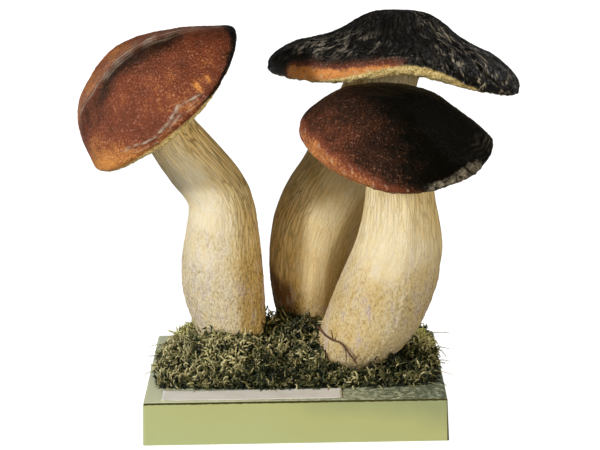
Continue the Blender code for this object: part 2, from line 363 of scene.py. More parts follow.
def left_cap(local, places, turns):
    """Relief in mm, tone from orange to black, and pale marks of the left cap, with its long creases."""
    x, y = local[:, 0], local[:, 1]
    # Long creases, nearly parallel, from the left edge to the tip
    line = np.interp(
        x,
        (-46, -34, -25, -18, -10, -4, 1, 9, 16, 21, 28, 34, 40, 52),
        (-16, -16, -16.6, -17.3, -14, -9.6, -6.3, -4.1, -3.0, -1.2, 0.9, 4.6, 9, 18),
    )
    front = line - y + 1.1 * noise_at(local, 15, 11)
    ends = rise(x, -46, -32) * (1 - rise(x, 44, 54))
    upper = rise(x, -14, -4)
    broken = 0.6 + 0.8 * noise_at(local, 6, 17)
    lines = hump(front, 0, 0.8) + upper * (0.8 * hump(front, 2.6, 0.7) + 0.6 * hump(front, 5.2, 0.7))
    lines += 0.5 * hump(front, -3.2, 0.7) + 0.4 * hump(front, -6.5, 0.6)
    lines *= ends * broken
    # Wavy ridges along the lower margin
    ridge_place = by_turn(turns, [
        (245, 0.6), (256, 0.6), (265, 0.66), (272, 0.68), (280, 0.65), (290, 0.61), (297, 0.575), (303, 0.6),
        (312, 0.66),
    ])
    ridge_place += 0.012 * noise_at(local, 3, 20)
    ridge_side = rise(turns, 244, 254) * (1 - rise(turns, 306, 314))
    ridge = hump(places, ridge_place, 0.014) * ridge_side
    patchy = rise(noise_at(local, 7, 13), -0.1, 0.3)
    ridge += 0.8 * hump(places, ridge_place + 0.05, 0.01) * ridge_side * patchy
    ridge += 0.6 * hump(places, ridge_place + 0.1, 0.01) * ridge_side * (1 - patchy)
    below_ridge = rise(places, ridge_place, ridge_place + 0.03) * ridge_side
    relief = pebbled(local, 12) + 0.4 * lines - 0.7 * hump(front, 7, 5.5) * ends
    relief += 0.7 * ridge - 0.5 * below_ridge + 0.3 * below_ridge * noise_at(local, 2.4, 18)

    tone = 0.37 + 0.1 * noise_at(local, 14, 15) - 0.06 * noise_at(local, 6, 16)
    # Painted shade in the broad strip below the creases, and a painted sheen on the side above them
    crease_shade = hump(front, 8, 7.5) * (0.16 + 0.17 * rise(x, -24, -6)) * (1 - rise(x, 26, 44))
    tone += crease_shade - 0.15 * rise(-front, 0, 3) * (1 - rise(x, 0, 20))
    # The tip is black, with a soft border
    black_from = by_turn(turns, [
        (20, 0.62), (357, 0.68), (350, 0.72), (344, 0.74), (336, 0.74), (326, 0.76), (316, 0.78), (308, 0.8),
        (300, 0.9), (200, 1.2), (90, 0.7),
    ])
    black_from += 0.03 * noise_at(local, 5, 10)
    tone += 0.2 * rise(places, black_from - 0.2, black_from)
    tone += 0.6 * rise(places, black_from - 0.06, black_from + 0.06)
    # Orange margins, and two small yellow flaws near the right margin
    tone -= 0.5 * rise(places, 0.32, 0.66) * hump(turn_from(turns, 218), 0, 30)
    tone -= 0.1 * rise(places, 0.4, 0.6) * hump(turn_from(turns, 322), 0, 18)
    tone -= 0.08 * below_ridge + 0.12 * below_ridge * noise_at(local, 3, 14)
    tone -= 0.5 * hump(np.hypot((x - 32) / 1.1, (y + 35) / 2.4), 0, 1)
    tone -= 0.4 * hump(np.hypot((x - 37.8) / 0.9, (y + 31.2) / 2), 0, 1)
    # Pale marks: painted highlights along the crease lines and a faint painted sheen above them, and the
    # pale margin ridges
    marks = 0.9 * lines + 1.1 * ridge * (0.5 + 1.2 * noise_at(local, 2.4, 19))
    marks += 0.04 * rise(-front, 1, 4) * (1 - rise(-front, 12, 20))
    return relief, tone, marks


def rear_cap(local, places, turns):
    """The same three of the rear cap, with wrinkles that run down from its hump."""
    # Wide wrinkles with finer ones between them
    warp = 10 * noise_at(local, 24, 21) + 4 * noise_at(local, 8, 22)
    lengths = places * CAP_PATTERN_LENGTH
    wide = noise_at(flow_points(turns + warp, lengths, 46, 4), 5.5, 23)
    fine = noise_at(flow_points(turns + 1.4 * warp, lengths, 46, 5), 2.6, 24)
    red_from = by_turn(turns, [(180, 0.9), (196, 0.69), (210, 0.63), (250, 0.64), (268, 0.69), (290, 0.95)])
    smooth_margin = rise(places, red_from - 0.04, red_from + 0.02)
    wrinkled = rise(places, 0.02, 0.16) * (1 - 0.9 * smooth_margin)
    sides = 0.45 + 0.55 * np.maximum(rise(turns, 276, 300), 1 - rise(turns, 215, 250))
    relief = pebbled(local, 26)
    relief += wrinkled * (0.8 - 1.4 * creases(wide, 0.22) - 0.8 * sides * creases(fine, 0.3))
    rim_line = hump(places, by_turn(turns, [(230, 0.66), (262, 0.69), (285, 0.71), (300, 0.75)]), 0.014)
    rim_line *= rise(turns, 245, 258) * (1 - rise(turns, 306, 330))
    relief += 0.5 * rim_line

    # Black, but for a red-brown margin at the front left with an orange edge
    tone = 0.96 + 0.06 * noise_at(local, 9, 28)
    red = rise(places, red_from - 0.03, red_from + 0.07)
    red *= (1 - rise(turns, 262, 276)) * rise(turns, 199, 206)
    orange_from = by_turn(turns, [
        (195, 0.73), (210, 0.74), (225, 0.75), (240, 0.77), (256, 0.79), (270, 0.86),
    ])
    orange_from += 0.03 * noise_at(local, 6, 27) + 0.02 * noise_at(local, 2, 36)
    orange = rise(places, orange_from - 0.06, orange_from + 0.06) * red
    orange = np.clip(orange * (0.95 + 0.7 * noise_at(local, 2.2, 30)), 0, 1)
    tone -= 0.46 * red + 0.74 * orange
    # Painted highlights: pale gloss streaks on the wrinkles at both sides and along the rolled rim; crumbs
    # on the orange edge, and one pale scar
    far_right = rise(turns, 280, 300) * (1 - rise(turns, 325, 350))
    left_side = hump(turn_from(turns, 218), 0, 26) * rise(places, 0.3, 0.5)
    broken = rise(noise_at(local, 7, 29) + 0.4 * noise_at(local, 3, 31), -0.4, 0.15)
    marks = wrinkled * broken * (0.05 + 0.75 * far_right + 0.6 * left_side)
    marks += 0.7 * orange * rise(noise_at(local, 2.4, 33), 0.0, 0.4)
    scar = hump(np.hypot(local[:, 0] + 14.7, local[:, 1] + 39.6), 0, 2.2)
    marks += 0.2 * rim_line + 0.9 * scar
    return relief, tone, marks


def front_cap(local, places, turns):
    """The same three of the front cap, orange at its left margin and nearly black at its right."""
    x, y = local[:, 0], local[:, 1]
    # Faint rings near the right edge, a shoulder, and a crust under the right of the margin
    edge_right = hump(turn_from(turns, 2), 0, 26) * rise(places, 0.46, 0.58) * (1 - rise(places, 0.76, 0.86))
    rings = np.cos(places * 130 + 6 * noise_at(local, 9, 31)) * edge_right * (0.5 + noise_at(local, 5, 30))
    shoulder = hump(x, 16, 15) * hump(y, 4, 20) * (1 - rise(places, 0.6, 0.75))
    fine = noise_at(flow_points(turns + 6 * noise_at(local, 9, 32), places * 75, 30, 2.5), 3.0, 33)
    lower = rise(-y, 10, 30) * (1 - rise(x, 10, 30))
    crust_from = by_turn(turns, [
        (280, 0.72), (288, 0.67), (300, 0.66), (312, 0.63), (320, 0.61), (330, 0.64),
    ])
    crust = rise(places, crust_from - 0.01, crust_from + 0.01) * rise(turns, 283, 290)
    crust *= (1 - rise(turns, 324, 332)) * (1 - rise(places, crust_from + 0.2, crust_from + 0.26))
    relief = pebbled(local, 34) + 0.3 * rings - 0.25 * creases(fine, 0.35) * lower + 2.6 * shoulder
    relief += crust * (0.5 + 0.8 * noise_at(local, 1.9, 36))

    # Red-brown at the left, black at the right, orange along the left margin
    tone = 0.62 + 0.46 * rise(x + 0.4 * y, -52, 8)
    tone += 0.07 * noise_at(local, 12, 35) + 0.05 * noise_at(local, 4, 38)
    margin = by_turn(turns, [
        (150, 0.9), (172, 0.62), (205, 0.58), (240, 0.64), (262, 0.7), (282, 0.76), (295, 1),
    ])
    tone -= 0.36 * rise(places, margin - 0.12, margin + 0.04) + 0.08 * lower
    # Painted shadow of the rear cap over the back of the front cap
    tone += 0.3 * rise(y, -6, 12)
    flecks = rise(noise_at(local, 1.8, 39), 0.42, 0.52) * rise(places, margin - 0.08, margin)
    pits = 0.8 * noise_at(local, 1.3, 37) + 0.7 * noise_at(local, 3.2, 40)
    # Pale marks: the crust, painted highlights on the ring ridges near the right edge, and flecks by the
    # orange margin
    marks = 0.65 * crust * np.clip(0.4 + pits, 0, 1) + 0.25 * np.clip(rings, 0, 1)
    marks += 0.5 * flecks * (turns < 295)
    return relief, tone, marks


# What each mushroom's entries say, in mm where they are sizes, with turns in degrees:
# stem: stations from foot to neck, with height, centre x and y, half width across and in depth, and lean
# cap_lean: the cap's lean to the right, then towards the viewer
# top_shift: how far the cap's top is moved across and in depth
# pore_swell: how far the pores bulge downwards
# rim_share, rim_rise: the rim's share of the radius and its height, every 45 degrees from the right
# pore_edge, drop: where the pores begin to show, and how far the edge hangs, by the turn
# crumbs: how rough that edge is
# stem_tone, net: the stem's tone, from cream at 0 to brown at 1, and its brown threads by the turn, which
# hold painted shade
# grain_from, foot_tone_and_shade: the share of the stem above its granular foot, and how much darker that
# foot is, with painted shade
# painted_neck_light: how much paler the neck is painted, as painted light
# wrinkles, furrow_scale, streaked: how deep and fine the cap's wrinkles are, and if pale painted highlight
# streaks run along their crests
# shine, roughness: how strongly the skin reflects where it is orange and where black, and how dull it is
MUSHROOMS = {
    "mushroom_left": {
        "stem": [
            (23.5, -34.6, 16, 14.4, 14.4, 0), (43.7, -36.5, 16, 19.8, 19.8, 0),
            (61.5, -39, 15.5, 22.4, 21.8, 0), (80.3, -39.7, 14.5, 22.1, 21.8, 0),
            (98.1, -39.1, 12.5, 20, 20.3, 0), (112.9, -39.1, 10.5, 18, 18.3, -5),
            (123.8, -43.1, 9, 16.8, 17.3, -20), (140.1, -55.3, 7.1, 16.1, 16.8, -42),
            (151.5, -63, 5.1, 15.6, 16.3, -46), (164.3, -68.1, 3.6, 16.1, 16.3, -44),
        ],
        "cap_centre": (-67.6, 2.1, 174.2),
        "cap_lean": (-43, 18),
        "cap_radius": 51.4,
        "cap_height": 37.6,
        "top_shift": (-9.4, -2),
        "pore_swell": 3,
        "profile": LEFT_PROFILE,
        "rim_share": (1.06, 0.94, 1.04, 0.98, 1.0, 1.0, 0.95, 1.0),
        "rim_rise": (0, -1.5, 2.5, -1, 0.5, 2.5, 1.5, -2.5),
        "cap": left_cap,
        "slot": "cap_skin",
        "pore_edge": [
            (0, 0.97), (200, 0.97), (210, 0.82), (235, 0.82), (290, 0.83), (312, 0.82), (325, 0.92),
        ],
        "drop": [(205, 0), (250, 0.8), (270, 2.6), (285, 2.2), (300, 0.9), (320, 0)],
        "crumbs": 0.45,
        "stem_tone": 0.12,
        "net_and_shade": [(0, 1), (60, 0.8), (200, 0.3), (240, 0.1), (275, 0.15), (305, 0.75)],
        "grain_from": 0.45,
        "foot_tone_and_shade": [(0, 0.4), (200, 0.1), (285, 0.05), (302, 0.32)],
        "painted_neck_light": 0.0,
        "wrinkles": 0.5,
        "furrow_scale": 0.55,
        "painted_gloss_streaks": False,
        "shine": (0.35, 0.15),
        "roughness": 0.3,
        "seed": 40,
    },
    "mushroom_rear": {
        "stem": [
            (23.5, 8.3, 38, 15, 15, 0), (39, 8.3, 38.5, 18.2, 19, 0),
            (59.6, 8.4, 39.5, 21.7, 22, 0), (79, 10, 41, 24, 23, 0),
            (97, 15.2, 42.5, 26.3, 24, 0), (115.5, 24.1, 44.5, 27.8, 24, 0),
            (133, 33.5, 46.5, 25.5, 22.2, 0), (152, 42.1, 48, 23.6, 21.2, 0),
            (170, 49.4, 49, 20.9, 20.2, 2), (183, 54, 49.5, 20.2, 19.7, 4),
        ],
        "cap_centre": (64, 49, 179.7),
        "cap_lean": (3, -6),
        "cap_radius": 67.8,
        "cap_height": 33,
        "top_shift": (-2.5, 0),
        "pore_swell": -1,
        "profile": REAR_PROFILE,
        "rim_share": (0.93, 0.9, 0.82, 0.95, 1.12, 0.95, 0.8, 0.9),
        "rim_rise": (-7, -4, 0, 1, 0, -1.5, 5, -4.5),
        "cap": rear_cap,
        "slot": "cap_skin_dark",
        "pore_edge": [
            (180, 0.95), (200, 0.93), (215, 0.92), (225, 0.88), (240, 0.84), (255, 0.81), (270, 0.79),
            (285, 0.8), (300, 0.86), (315, 0.93), (345, 0.96),
        ],
        "drop": [(0, 0), (180, 0)],
        "crumbs": 0.8,
        "stem_tone": 0.31,
        "net_and_shade": [(0, 1), (180, 0.8), (235, 0.6), (262, 0.2), (285, 0.1), (325, 0.5)],
        "grain_from": 0.62,
        # Painted shade on the rear stem's foot, darkest on its left, where the left mushroom's shadow falls
        "foot_tone_and_shade": [(0, 0.5), (180, 0.9), (240, 0.8), (262, 0.15), (300, 0.25)],
        # Painted light on the rear stem's neck
        "painted_neck_light": 0.32,
        "wrinkles": 2.2,
        "furrow_scale": 0.8,
        "painted_gloss_streaks": True,
        "shine": (0.5, 0.45),
        "roughness": 0.28,
        "seed": 50,
    },
    "mushroom_front": {
        "stem": [
            (23.5, 31.3, -6, 9, 11, 0), (28, 32.2, -6, 16, 16, 0),
            (34, 34.6, -6, 22.1, 21.6, 0), (45, 40.1, -6.5, 26.3, 25.6, 0),
            (57, 45.3, -7.5, 27.2, 26.4, 0), (73.6, 51.2, -9.5, 26.8, 26, 0),
            (83, 53.6, -11, 25.4, 25, 0), (94, 56.4, -13, 23.8, 23.3, 0),
            (105.3, 57.6, -15, 21.5, 21, 0), (117.4, 57.8, -17, 19.3, 19, 0),
            (130.6, 57.5, -19, 17.8, 17.3, 0), (145, 56.5, -21, 17.3, 17, 5),
        ],
        "cap_centre": (56, -22, 152.7),
        "cap_lean": (5, 12),
        "cap_radius": 51,
        "cap_height": 29.2,
        "top_shift": (-11.5, -1),
        "pore_swell": 3,
        "profile": FRONT_PROFILE,
        "rim_share": (0.98, 0.93, 0.86, 0.9, 1.02, 0.96, 0.93, 0.97),
        "rim_rise": (5, -0.5, -3.5, -0.5, 5, 0, -5, 0),
        "cap": front_cap,
        "slot": "cap_skin",
        "pore_edge": [(0, 0.96), (190, 0.95), (205, 0.9), (235, 0.92), (285, 0.95)],
        "drop": [(0, 0), (190, 0), (215, 1.0), (260, 0.6), (300, 0)],
        "crumbs": 0.55,
        "stem_tone": 0.17,
        "net_and_shade": [(0, 0.8), (60, 0.8), (200, 0.3), (250, 0.08), (285, 0.1), (315, 0.3), (340, 0.55)],
        "grain_from": 0.3,
        "foot_tone_and_shade": [(0, 0.15), (200, 0.2), (250, 0.24), (285, 0.12)],
        "painted_neck_light": 0.0,
        "wrinkles": 0.8,
        "furrow_scale": 0.55,
        "painted_gloss_streaks": False,
        "shine": (0.38, 0.03),
        "roughness": 0.3,
        "seed": 60,
    },
}


def stem_skin(mushroom, points, turns, lengths, whole):
    """Relief in mm, tone, net and share of the granular foot of a stem; net is the strength of its brown
    threads, with painted shade.
    """
    seed = mushroom["seed"]
    flow = flow_points(turns, lengths, STEM_PATTERN_RADIUS, FIBRE_STRETCH)
    flutes = noise_at(flow, 6.5, seed)
    fibres = noise_at(flow, 1.9, seed + 1)
    slant = lengths / whole + 0.1 * noise_at(points, 14, seed + 2)
    foot = rise(slant, mushroom["grain_from"], mushroom["grain_from"] + 0.3)
    grain = noise_at(points, 2.3, seed + 3) + 0.6 * noise_at(points, 1.5, seed + 4)
    # Strength of the brown threads, partly real and partly painted shade: highest on the side away from the
    # key light and at the neck under the cap
    net_and_shade = by_turn(turns, mushroom["net_and_shade"]) + 0.45 * hump(lengths, 0, 26)
    net_and_shade = np.clip(net_and_shade * (1 - 0.5 * foot), 0, 1)
    relief = flutes * (0.6 - 0.3 * foot) + 0.22 * fibres * (0.3 + net_and_shade) * (1 - foot) + 0.35 * grain * foot
    # The tone darkens with net, so it holds the same painted shade
    tone = mushroom["stem_tone"] + 0.34 * net_and_shade + 0.08 * noise_at(points, 16, seed + 5)
    # The foot is darker by the turn, partly as painted shade; the neck is paler by painted_neck_light, as
    # painted light
    tone += by_turn(turns, mushroom["foot_tone_and_shade"]) * foot - mushroom["painted_neck_light"] * hump(lengths, 0, 60)
    return relief, tone, net_and_shade, foot


def mushroom_skin(mushroom, stations, azimuths, stem_length):
    """Points in mm of a finished mushroom, and what its material reads: zones (tone, pores, stem), marks,
    the granular foot and flow coordinates."""
    points = skin_points(mushroom, stations, azimuths)
    normals = skin_normals(mushroom, stations, azimuths)
    turns = np.degrees(azimuths) % 360
    places = np.clip(stations, 0, 1)
    local = cap_local(mushroom, places, azimuths)
    seed = mushroom["seed"]
    cap_relief, cap_tone, cap_marks = mushroom["cap"](local, places, turns)
    lengths = np.clip(stations - 2, 0, 1) * stem_length
    stem_relief, stem_tone, net_and_shade, foot = stem_skin(mushroom, points, turns, lengths, stem_length)

    ragged = noise_at(points, 3.6, seed + 6) + 0.6 * noise_at(points, 1.7, seed + 7)
    pore_edge = by_turn(turns, mushroom["pore_edge"])
    edge = np.where(stations < 1, rise(stations, pore_edge - 0.05, pore_edge), 1 - rise(stations, 1, 1.5))
    pits = noise_at(points, 1.5, seed + 8)
    on_cap = 1 - rise(stations, pore_edge, pore_edge + 0.04)
    on_stem = rise(stations, 1.93, 2.04)
    on_pores = (1 - on_cap) * (1 - on_stem)
    above_sole = 1 - rise(stations, 2.96, 3.0)
    relief = cap_relief * on_cap + (stem_relief * on_stem + 0.3 * pits * on_pores) * above_sole
    relief += mushroom["crumbs"] * ragged * edge
    drop = by_turn(turns, mushroom["drop"]) * rise(stations, 0.72, 0.9) * (1 - rise(stations, 1, 1.6))
    axis = np.array(cap_matrix(mushroom))[:3, 2]
    points = points + normals * relief[:, None] - drop[:, None] * axis

    rough_edge = 0.035 * ragged
    stem_share = rise(stations + rough_edge, 1.93, 2.02)
    pore_share = rise(stations + 0.5 * rough_edge, pore_edge - 0.01, pore_edge + 0.02) * (1 - stem_share)
    tone = cap_tone * (1 - stem_share) + stem_tone * stem_share
    zones = np.stack([np.clip(tone, 0, 1), pore_share, stem_share], axis=-1)
    marks = np.clip(cap_marks * on_cap + net_and_shade * stem_share, 0, 1)
    warp = 9 * noise_at(local, 22, seed + 9)
    cap_flow = flow_points(turns + warp, places * CAP_PATTERN_LENGTH, CAP_PATTERN_RADIUS, FIBRE_STRETCH)
    stem_flow = flow_points(turns, lengths, STEM_PATTERN_RADIUS, FIBRE_STRETCH)
    flow = np.where(stations[:, None] < 1, cap_flow, stem_flow)
    return points, {"zones": zones, "marks": marks, "foot": foot * stem_share, "flow": flow}


def add_piece(name, mesh, material):
    """A visible piece at the origin that rides on the object's one body."""
    mesh.materials.append(material)
    mesh.shade_smooth()
    piece = bpy.data.objects.new(name, mesh)
    bpy.context.scene.collection.objects.link(piece)
    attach(piece, "root")
    return piece


def mesh_from(bm, name):
    """A mesh from bm, which is freed, with its faces pointing out."""
    bmesh.ops.recalc_face_normals(bm, faces=bm.faces)
    mesh = bpy.data.meshes.new(name)
    bm.to_mesh(mesh)
    bm.free()
    return mesh


def set_attribute(mesh, name, values):
    """A value or a vector for each vertex, for the materials to read."""
    numbers = np.ascontiguousarray(values, np.float32)
    kind, field = ("FLOAT", "value") if numbers.ndim == 1 else ("FLOAT_VECTOR", "vector")
    attribute = mesh.attributes.new(name, kind, "POINT")
    attribute.data.foreach_set(field, numbers.ravel())


def wrapped_grid(segments, rings):
    """A grid whose sides are joined and whose first and last rows are each drawn into a point. X stands for
    the turn round a mushroom and Y for the way from its top to its foot, both from -1 to 1."""
    bm = bmesh.new()
    bmesh.ops.create_grid(bm, x_segments=segments, y_segments=rings, size=1.0)
    border = 0.9999
    sides = [
        sorted((vert for vert in bm.verts if vert.co.x * side > border), key=lambda vert: vert.co.y)
        for side in (-1, 1)
    ]
    bmesh.ops.weld_verts(bm, targetmap=dict(zip(sides[1], sides[0])))
    for end in (-1, 1):
        row = [vert for vert in bm.verts if vert.co.y * end > border]
        bmesh.ops.pointmerge(bm, verts=row, merge_co=(0, end, 0))
    return bm


def make_mushroom(name, mushroom, segments):
    """One closed skin from the cap's top to the sole: a wrapped grid is moved onto the mushroom."""
    cap_places, _ = even_places(lambda places, turns: cap_local(mushroom, places, turns), CAP_RINGS)
    stem_places, stem_length = even_places(
        lambda places, turns: stem_points(mushroom, places, turns), STEM_RINGS
    )
    ring_stations = np.concatenate([
        cap_places,
        1 + np.linspace(0, 1, PORE_RINGS + 1)[1:],
        2 + stem_places[1:],
        3 + np.linspace(0, 1, SOLE_RINGS + 1)[1:],
    ])
    rings = len(ring_stations) - 1
    bm = wrapped_grid(segments, rings)
    grid = np.array([vert.co for vert in bm.verts])
    ring = np.rint((grid[:, 1] + 1) / 2 * rings).astype(int)
    azimuths = grid[:, 0] * math.pi
    points, fields = mushroom_skin(mushroom, ring_stations[ring], azimuths, stem_length)
    for vert, point in zip(bm.verts, (points * MM).tolist()):
        vert.co = point
    mesh = mesh_from(bm, name)
    for field, values in fields.items():
        set_attribute(mesh, field, values)
    material = mushroom_material(name + "_flesh", mushroom)
    piece = add_piece(name + "_skin", mesh, material)
    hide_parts(name)


def paint_colour(red, green, blue):
    """A linear colour from the 0 to 255 values that a paint chart gives."""
    shares = np.array((red, green, blue)) / 255
    return tuple(np.where(shares <= 0.04045, shares / 12.92, ((shares + 0.055) / 1.055) ** 2.4).tolist())


def set_sockets(tree, node, sockets):
    """Links or sets a node's inputs, by name or number."""
    for key, value in sockets.items():
        if isinstance(value, bpy.types.NodeSocket):
            tree.links.new(value, node.inputs[key])
        else:
            node.inputs[key].default_value = value


def add_node(tree, kind, sockets=None, **settings):
    """A node with its settings and its inputs."""
    made = tree.nodes.new(kind)
    for key, value in settings.items():
        setattr(made, key, value)
    set_sockets(tree, made, sockets or {})
    return made


def add_ramp(tree, factor, stops):
    """A colour ramp through stops of (place, colour)."""
    made = add_node(tree, "ShaderNodeValToRGB", {"Fac": factor})
    elements = made.color_ramp.elements
    while len(elements) < len(stops):
        elements.new(1.0)
    for element, (place, colour) in zip(elements, stops):
        element.position = place
        element.color = (*colour, 1.0)
    return made.outputs["Color"]


def add_maths(tree, operation, first, second, third=None, clamp=False):
    """The result of one step of arithmetic."""
    sockets = {0: first, 1: second}
    if third is not None:
        sockets[2] = third
    return add_node(tree, "ShaderNodeMath", sockets, operation=operation, use_clamp=clamp).outputs[0]


def add_sum(tree, start, *parts):
    """Start plus the value of each part times its weight."""
    for value, weight in parts:
        start = add_maths(tree, "MULTIPLY_ADD", value, weight, start)
    return start


def add_step(tree, value, start, gain):
    """A share from 0 to 1 that grows by gain from where value passes start."""
    return add_maths(tree, "MULTIPLY", add_maths(tree, "SUBTRACT", value, start), gain, clamp=True)


def add_mix(tree, factor, first, second):
    """A mix of two colours, of which the second may be a plain one."""
    if not isinstance(second, bpy.types.NodeSocket):
        second = (*second, 1.0)
    sockets = {0: factor, 6: first, 7: second}
    return add_node(tree, "ShaderNodeMix", sockets, data_type="RGBA").outputs[2]


def add_noise(tree, vector, scale, detail=3.0, roughness=0.55):
    """Noise about as fine as 1 / scale mm, from 0 to 1."""
    sockets = {"Vector": vector, "Scale": scale, "Detail": detail, "Roughness": roughness}
    return add_node(tree, "ShaderNodeTexNoise", sockets).outputs["Fac"]


def add_cell_edges(tree, vector, scale):
    """Rounded cells about 1 / scale mm across: how far a place is from their edges."""
    sockets = {"Vector": vector, "Scale": scale}
    made = add_node(tree, "ShaderNodeTexVoronoi", sockets, feature="DISTANCE_TO_EDGE")
    return made.outputs["Distance"]


def add_scaled(tree, vector, scale):
    """Coordinates times a scale for each axis."""
    return add_node(tree, "ShaderNodeMapping", {"Vector": vector, "Scale": scale}).outputs["Vector"]


def add_bump(tree, height, strength, distance):
    """Fine relief from heights, where 1 stands for a distance in mm."""
    sockets = {"Height": height, "Strength": strength, "Distance": distance * MM}
    return add_node(tree, "ShaderNodeBump", sockets).outputs[0]


def start_material(name):
    """A new material's node tree and shader, and Object coordinates in mm."""
    material = bpy.data.materials.new(name)
    material.use_nodes = True
    tree = material.node_tree
    shader = tree.nodes["Principled BSDF"]
    coordinates = add_node(tree, "ShaderNodeTexCoord").outputs["Object"]
    return material, tree, shader, add_scaled(tree, coordinates, (1000, 1000, 1000))


def read_field(tree, name, output="Fac"):
    """What the mesh says about a field of that name."""
    return add_node(tree, "ShaderNodeAttribute", attribute_name=name).outputs[output]


def skin_look(tree, look, place, flow, tone, marks, mushroom):
    """Colour and height of a cap's skin: mottled, pebbled and wrinkled along its flow, with painted glints,
    and pale marks that are partly painted highlights.
    """
    grain = add_noise(tree, place, 0.9, 4.0, 0.65)
    glints = add_noise(tree, place, 0.95, 2.5, 0.55)
    mottle = add_noise(tree, place, 0.14, 3.0)
    furrows = add_noise(tree, flow, mushroom["furrow_scale"], 4.0, 0.6)
    mixed = add_sum(tree, tone, (grain, 0.4), (mottle, 0.3), (glints, -0.45))
    mixed = add_maths(tree, "SUBTRACT", mixed, 0.12, clamp=True)
    colour = add_ramp(tree, mixed, [
        (0.0, look.skin_orange), (0.32, look.skin_red_brown), (0.66, look.skin_dark), (0.9, look.skin_black),
    ])
    # When this switch is on, the pale marks run as painted highlight streaks along the furrows' crests;
    # elsewhere the grain breaks them up
    if mushroom["painted_gloss_streaks"]:
        strength = add_step(tree, furrows, 0.52, 14.0)
    else:
        strength = add_maths(tree, "MULTIPLY", grain, 1.8)
    strength = add_maths(tree, "MULTIPLY", strength, marks, clamp=True)
    # Pale marks: partly the skin's own dry crests, crust and crumbs, partly painted highlights on gloss
    # streaks, creases and rims
    colour = add_mix(tree, strength, colour, look.chalk_and_highlight)
    # Painted glints: tiny pale dots where the glints noise peaks on paler skin; the same noise also lightens
    # the tone in spots above
    how_pale = add_sum(tree, 0.62, (mixed, -0.68))
    painted_glint_share = add_maths(tree, "MULTIPLY", add_step(tree, glints, 0.57, 7.0), how_pale, clamp=True)
    colour = add_mix(tree, painted_glint_share, colour, look.skin_painted_glint)
    height = add_sum(tree, grain, (glints, 3.0), (furrows, mushroom["wrinkles"]))
    return colour, height


def stem_look(tree, look, place, flow, tone, net_and_shade, foot):
    """Colour and height of a stem: fibres, long dark threads as strong as net, which holds painted shade,
    and grains over its foot.
    """
    grain = add_noise(tree, place, 0.8, 4.0, 0.65)
    fibres = add_noise(tree, flow, 0.7, 5.0, 0.65)
    wander = add_node(tree, "ShaderNodeTexNoise", {"Vector": flow, "Scale": 0.3, "Detail": 2.0})
    wander = add_node(tree, "ShaderNodeVectorMath", {0: wander.outputs["Color"], 3: 3.5}, operation="SCALE")
    wander = add_node(tree, "ShaderNodeVectorMath", {0: wander.outputs[0], 1: flow}, operation="ADD")
    longer = add_scaled(tree, wander.outputs[0], (1.0, 1.0, 0.45))
    threads = add_cell_edges(tree, longer, 0.55)
    threads = add_maths(tree, "MULTIPLY", threads, 8.0, clamp=True)
    threads = add_maths(tree, "SUBTRACT", 1.0, threads)
    threads = add_maths(tree, "MULTIPLY", threads, net_and_shade)
    upright = add_scaled(tree, place, (1.0, 1.0, 0.5))
    granules = add_noise(tree, upright, 1.0, 3.0, 0.75)
    pits = add_maths(tree, "SUBTRACT", 0.5, granules)
    pits = add_maths(tree, "MULTIPLY", pits, foot)
    patches = add_noise(tree, upright, 0.16, 3.0, 0.6)

    mixed = add_sum(tree, tone, (fibres, 0.45), (grain, 0.4), (pits, 1.1), (patches, 0.3))
    mixed = add_maths(tree, "SUBTRACT", mixed, 0.62, clamp=True)
    colour = add_ramp(tree, mixed, [
        (0.0, look.stem_cream), (0.25, look.stem_buff), (0.55, look.stem_ochre), (0.95, look.stem_brown),
    ])
    bloom = add_step(tree, add_sum(tree, patches, (granules, 0.8)), 0.87, -5.0)
    bloom = add_maths(tree, "MULTIPLY", bloom, foot)
    colour = add_mix(tree, bloom, colour, look.stem_bloom)
    # Dark threads and pits, darker where net is high, so they carry its painted shade
    dark_pits = add_maths(tree, "MULTIPLY", pits, add_sum(tree, 2.2, (net_and_shade, 5.0)), clamp=True)
    dark_share = add_maths(tree, "MULTIPLY_ADD", threads, 0.8, dark_pits, clamp=True)
    colour = add_mix(tree, dark_share, colour, look.stem_thread)
    height = add_sum(tree, grain, (fibres, 0.9), (threads, -1.6), (pits, -5.0))
    return colour, height


def mushroom_material(name, mushroom):
    """Cap skin, pores and stem in one material, told apart by the zones of the mesh."""
    look = bpy.context.scene.porcini_mushrooms
    material, tree, shader, place = start_material(name)
    zones = add_node(tree, "ShaderNodeSeparateXYZ", {0: read_field(tree, "zones", "Vector")})
    tone, pores, stem = zones.outputs[0], zones.outputs[1], zones.outputs[2]
    marks = read_field(tree, "marks")
    flow = read_field(tree, "flow", "Vector")
    skin_colour, skin_height = skin_look(tree, look, place, flow, tone, marks, mushroom)
    stem_colour, stem_height = stem_look(tree, look, place, flow, tone, marks, read_field(tree, "foot"))
    crumbs = add_noise(tree, place, 0.9, 4.0, 0.75)
    pore_colour = add_ramp(tree, crumbs, [
        (0.34, look.pore_dark), (0.46, look.pore_olive), (0.58, look.pore_yellow),
    ])
    colour = add_mix(tree, pores, skin_colour, pore_colour)
    colour = add_mix(tree, stem, colour, stem_colour)

    not_skin = add_maths(tree, "ADD", pores, stem, clamp=True)
    roughness = add_maths(tree, "MULTIPLY_ADD", not_skin, 0.4, mushroom["roughness"], clamp=True)
    heights = add_node(
        tree, "ShaderNodeMix", {0: stem, 2: skin_height, 3: stem_height}, data_type="FLOAT"
    ).outputs[0]
    shine_pale, shine_dark = mushroom["shine"]
    set_sockets(tree, shader, {
        "Base Color": colour,
        "Roughness": roughness,
        "Normal": add_bump(tree, heights, 0.7, 0.6),
        "Specular IOR Level": add_sum(tree, shine_pale, (tone, shine_dark - shine_pale)),
    })
    return material


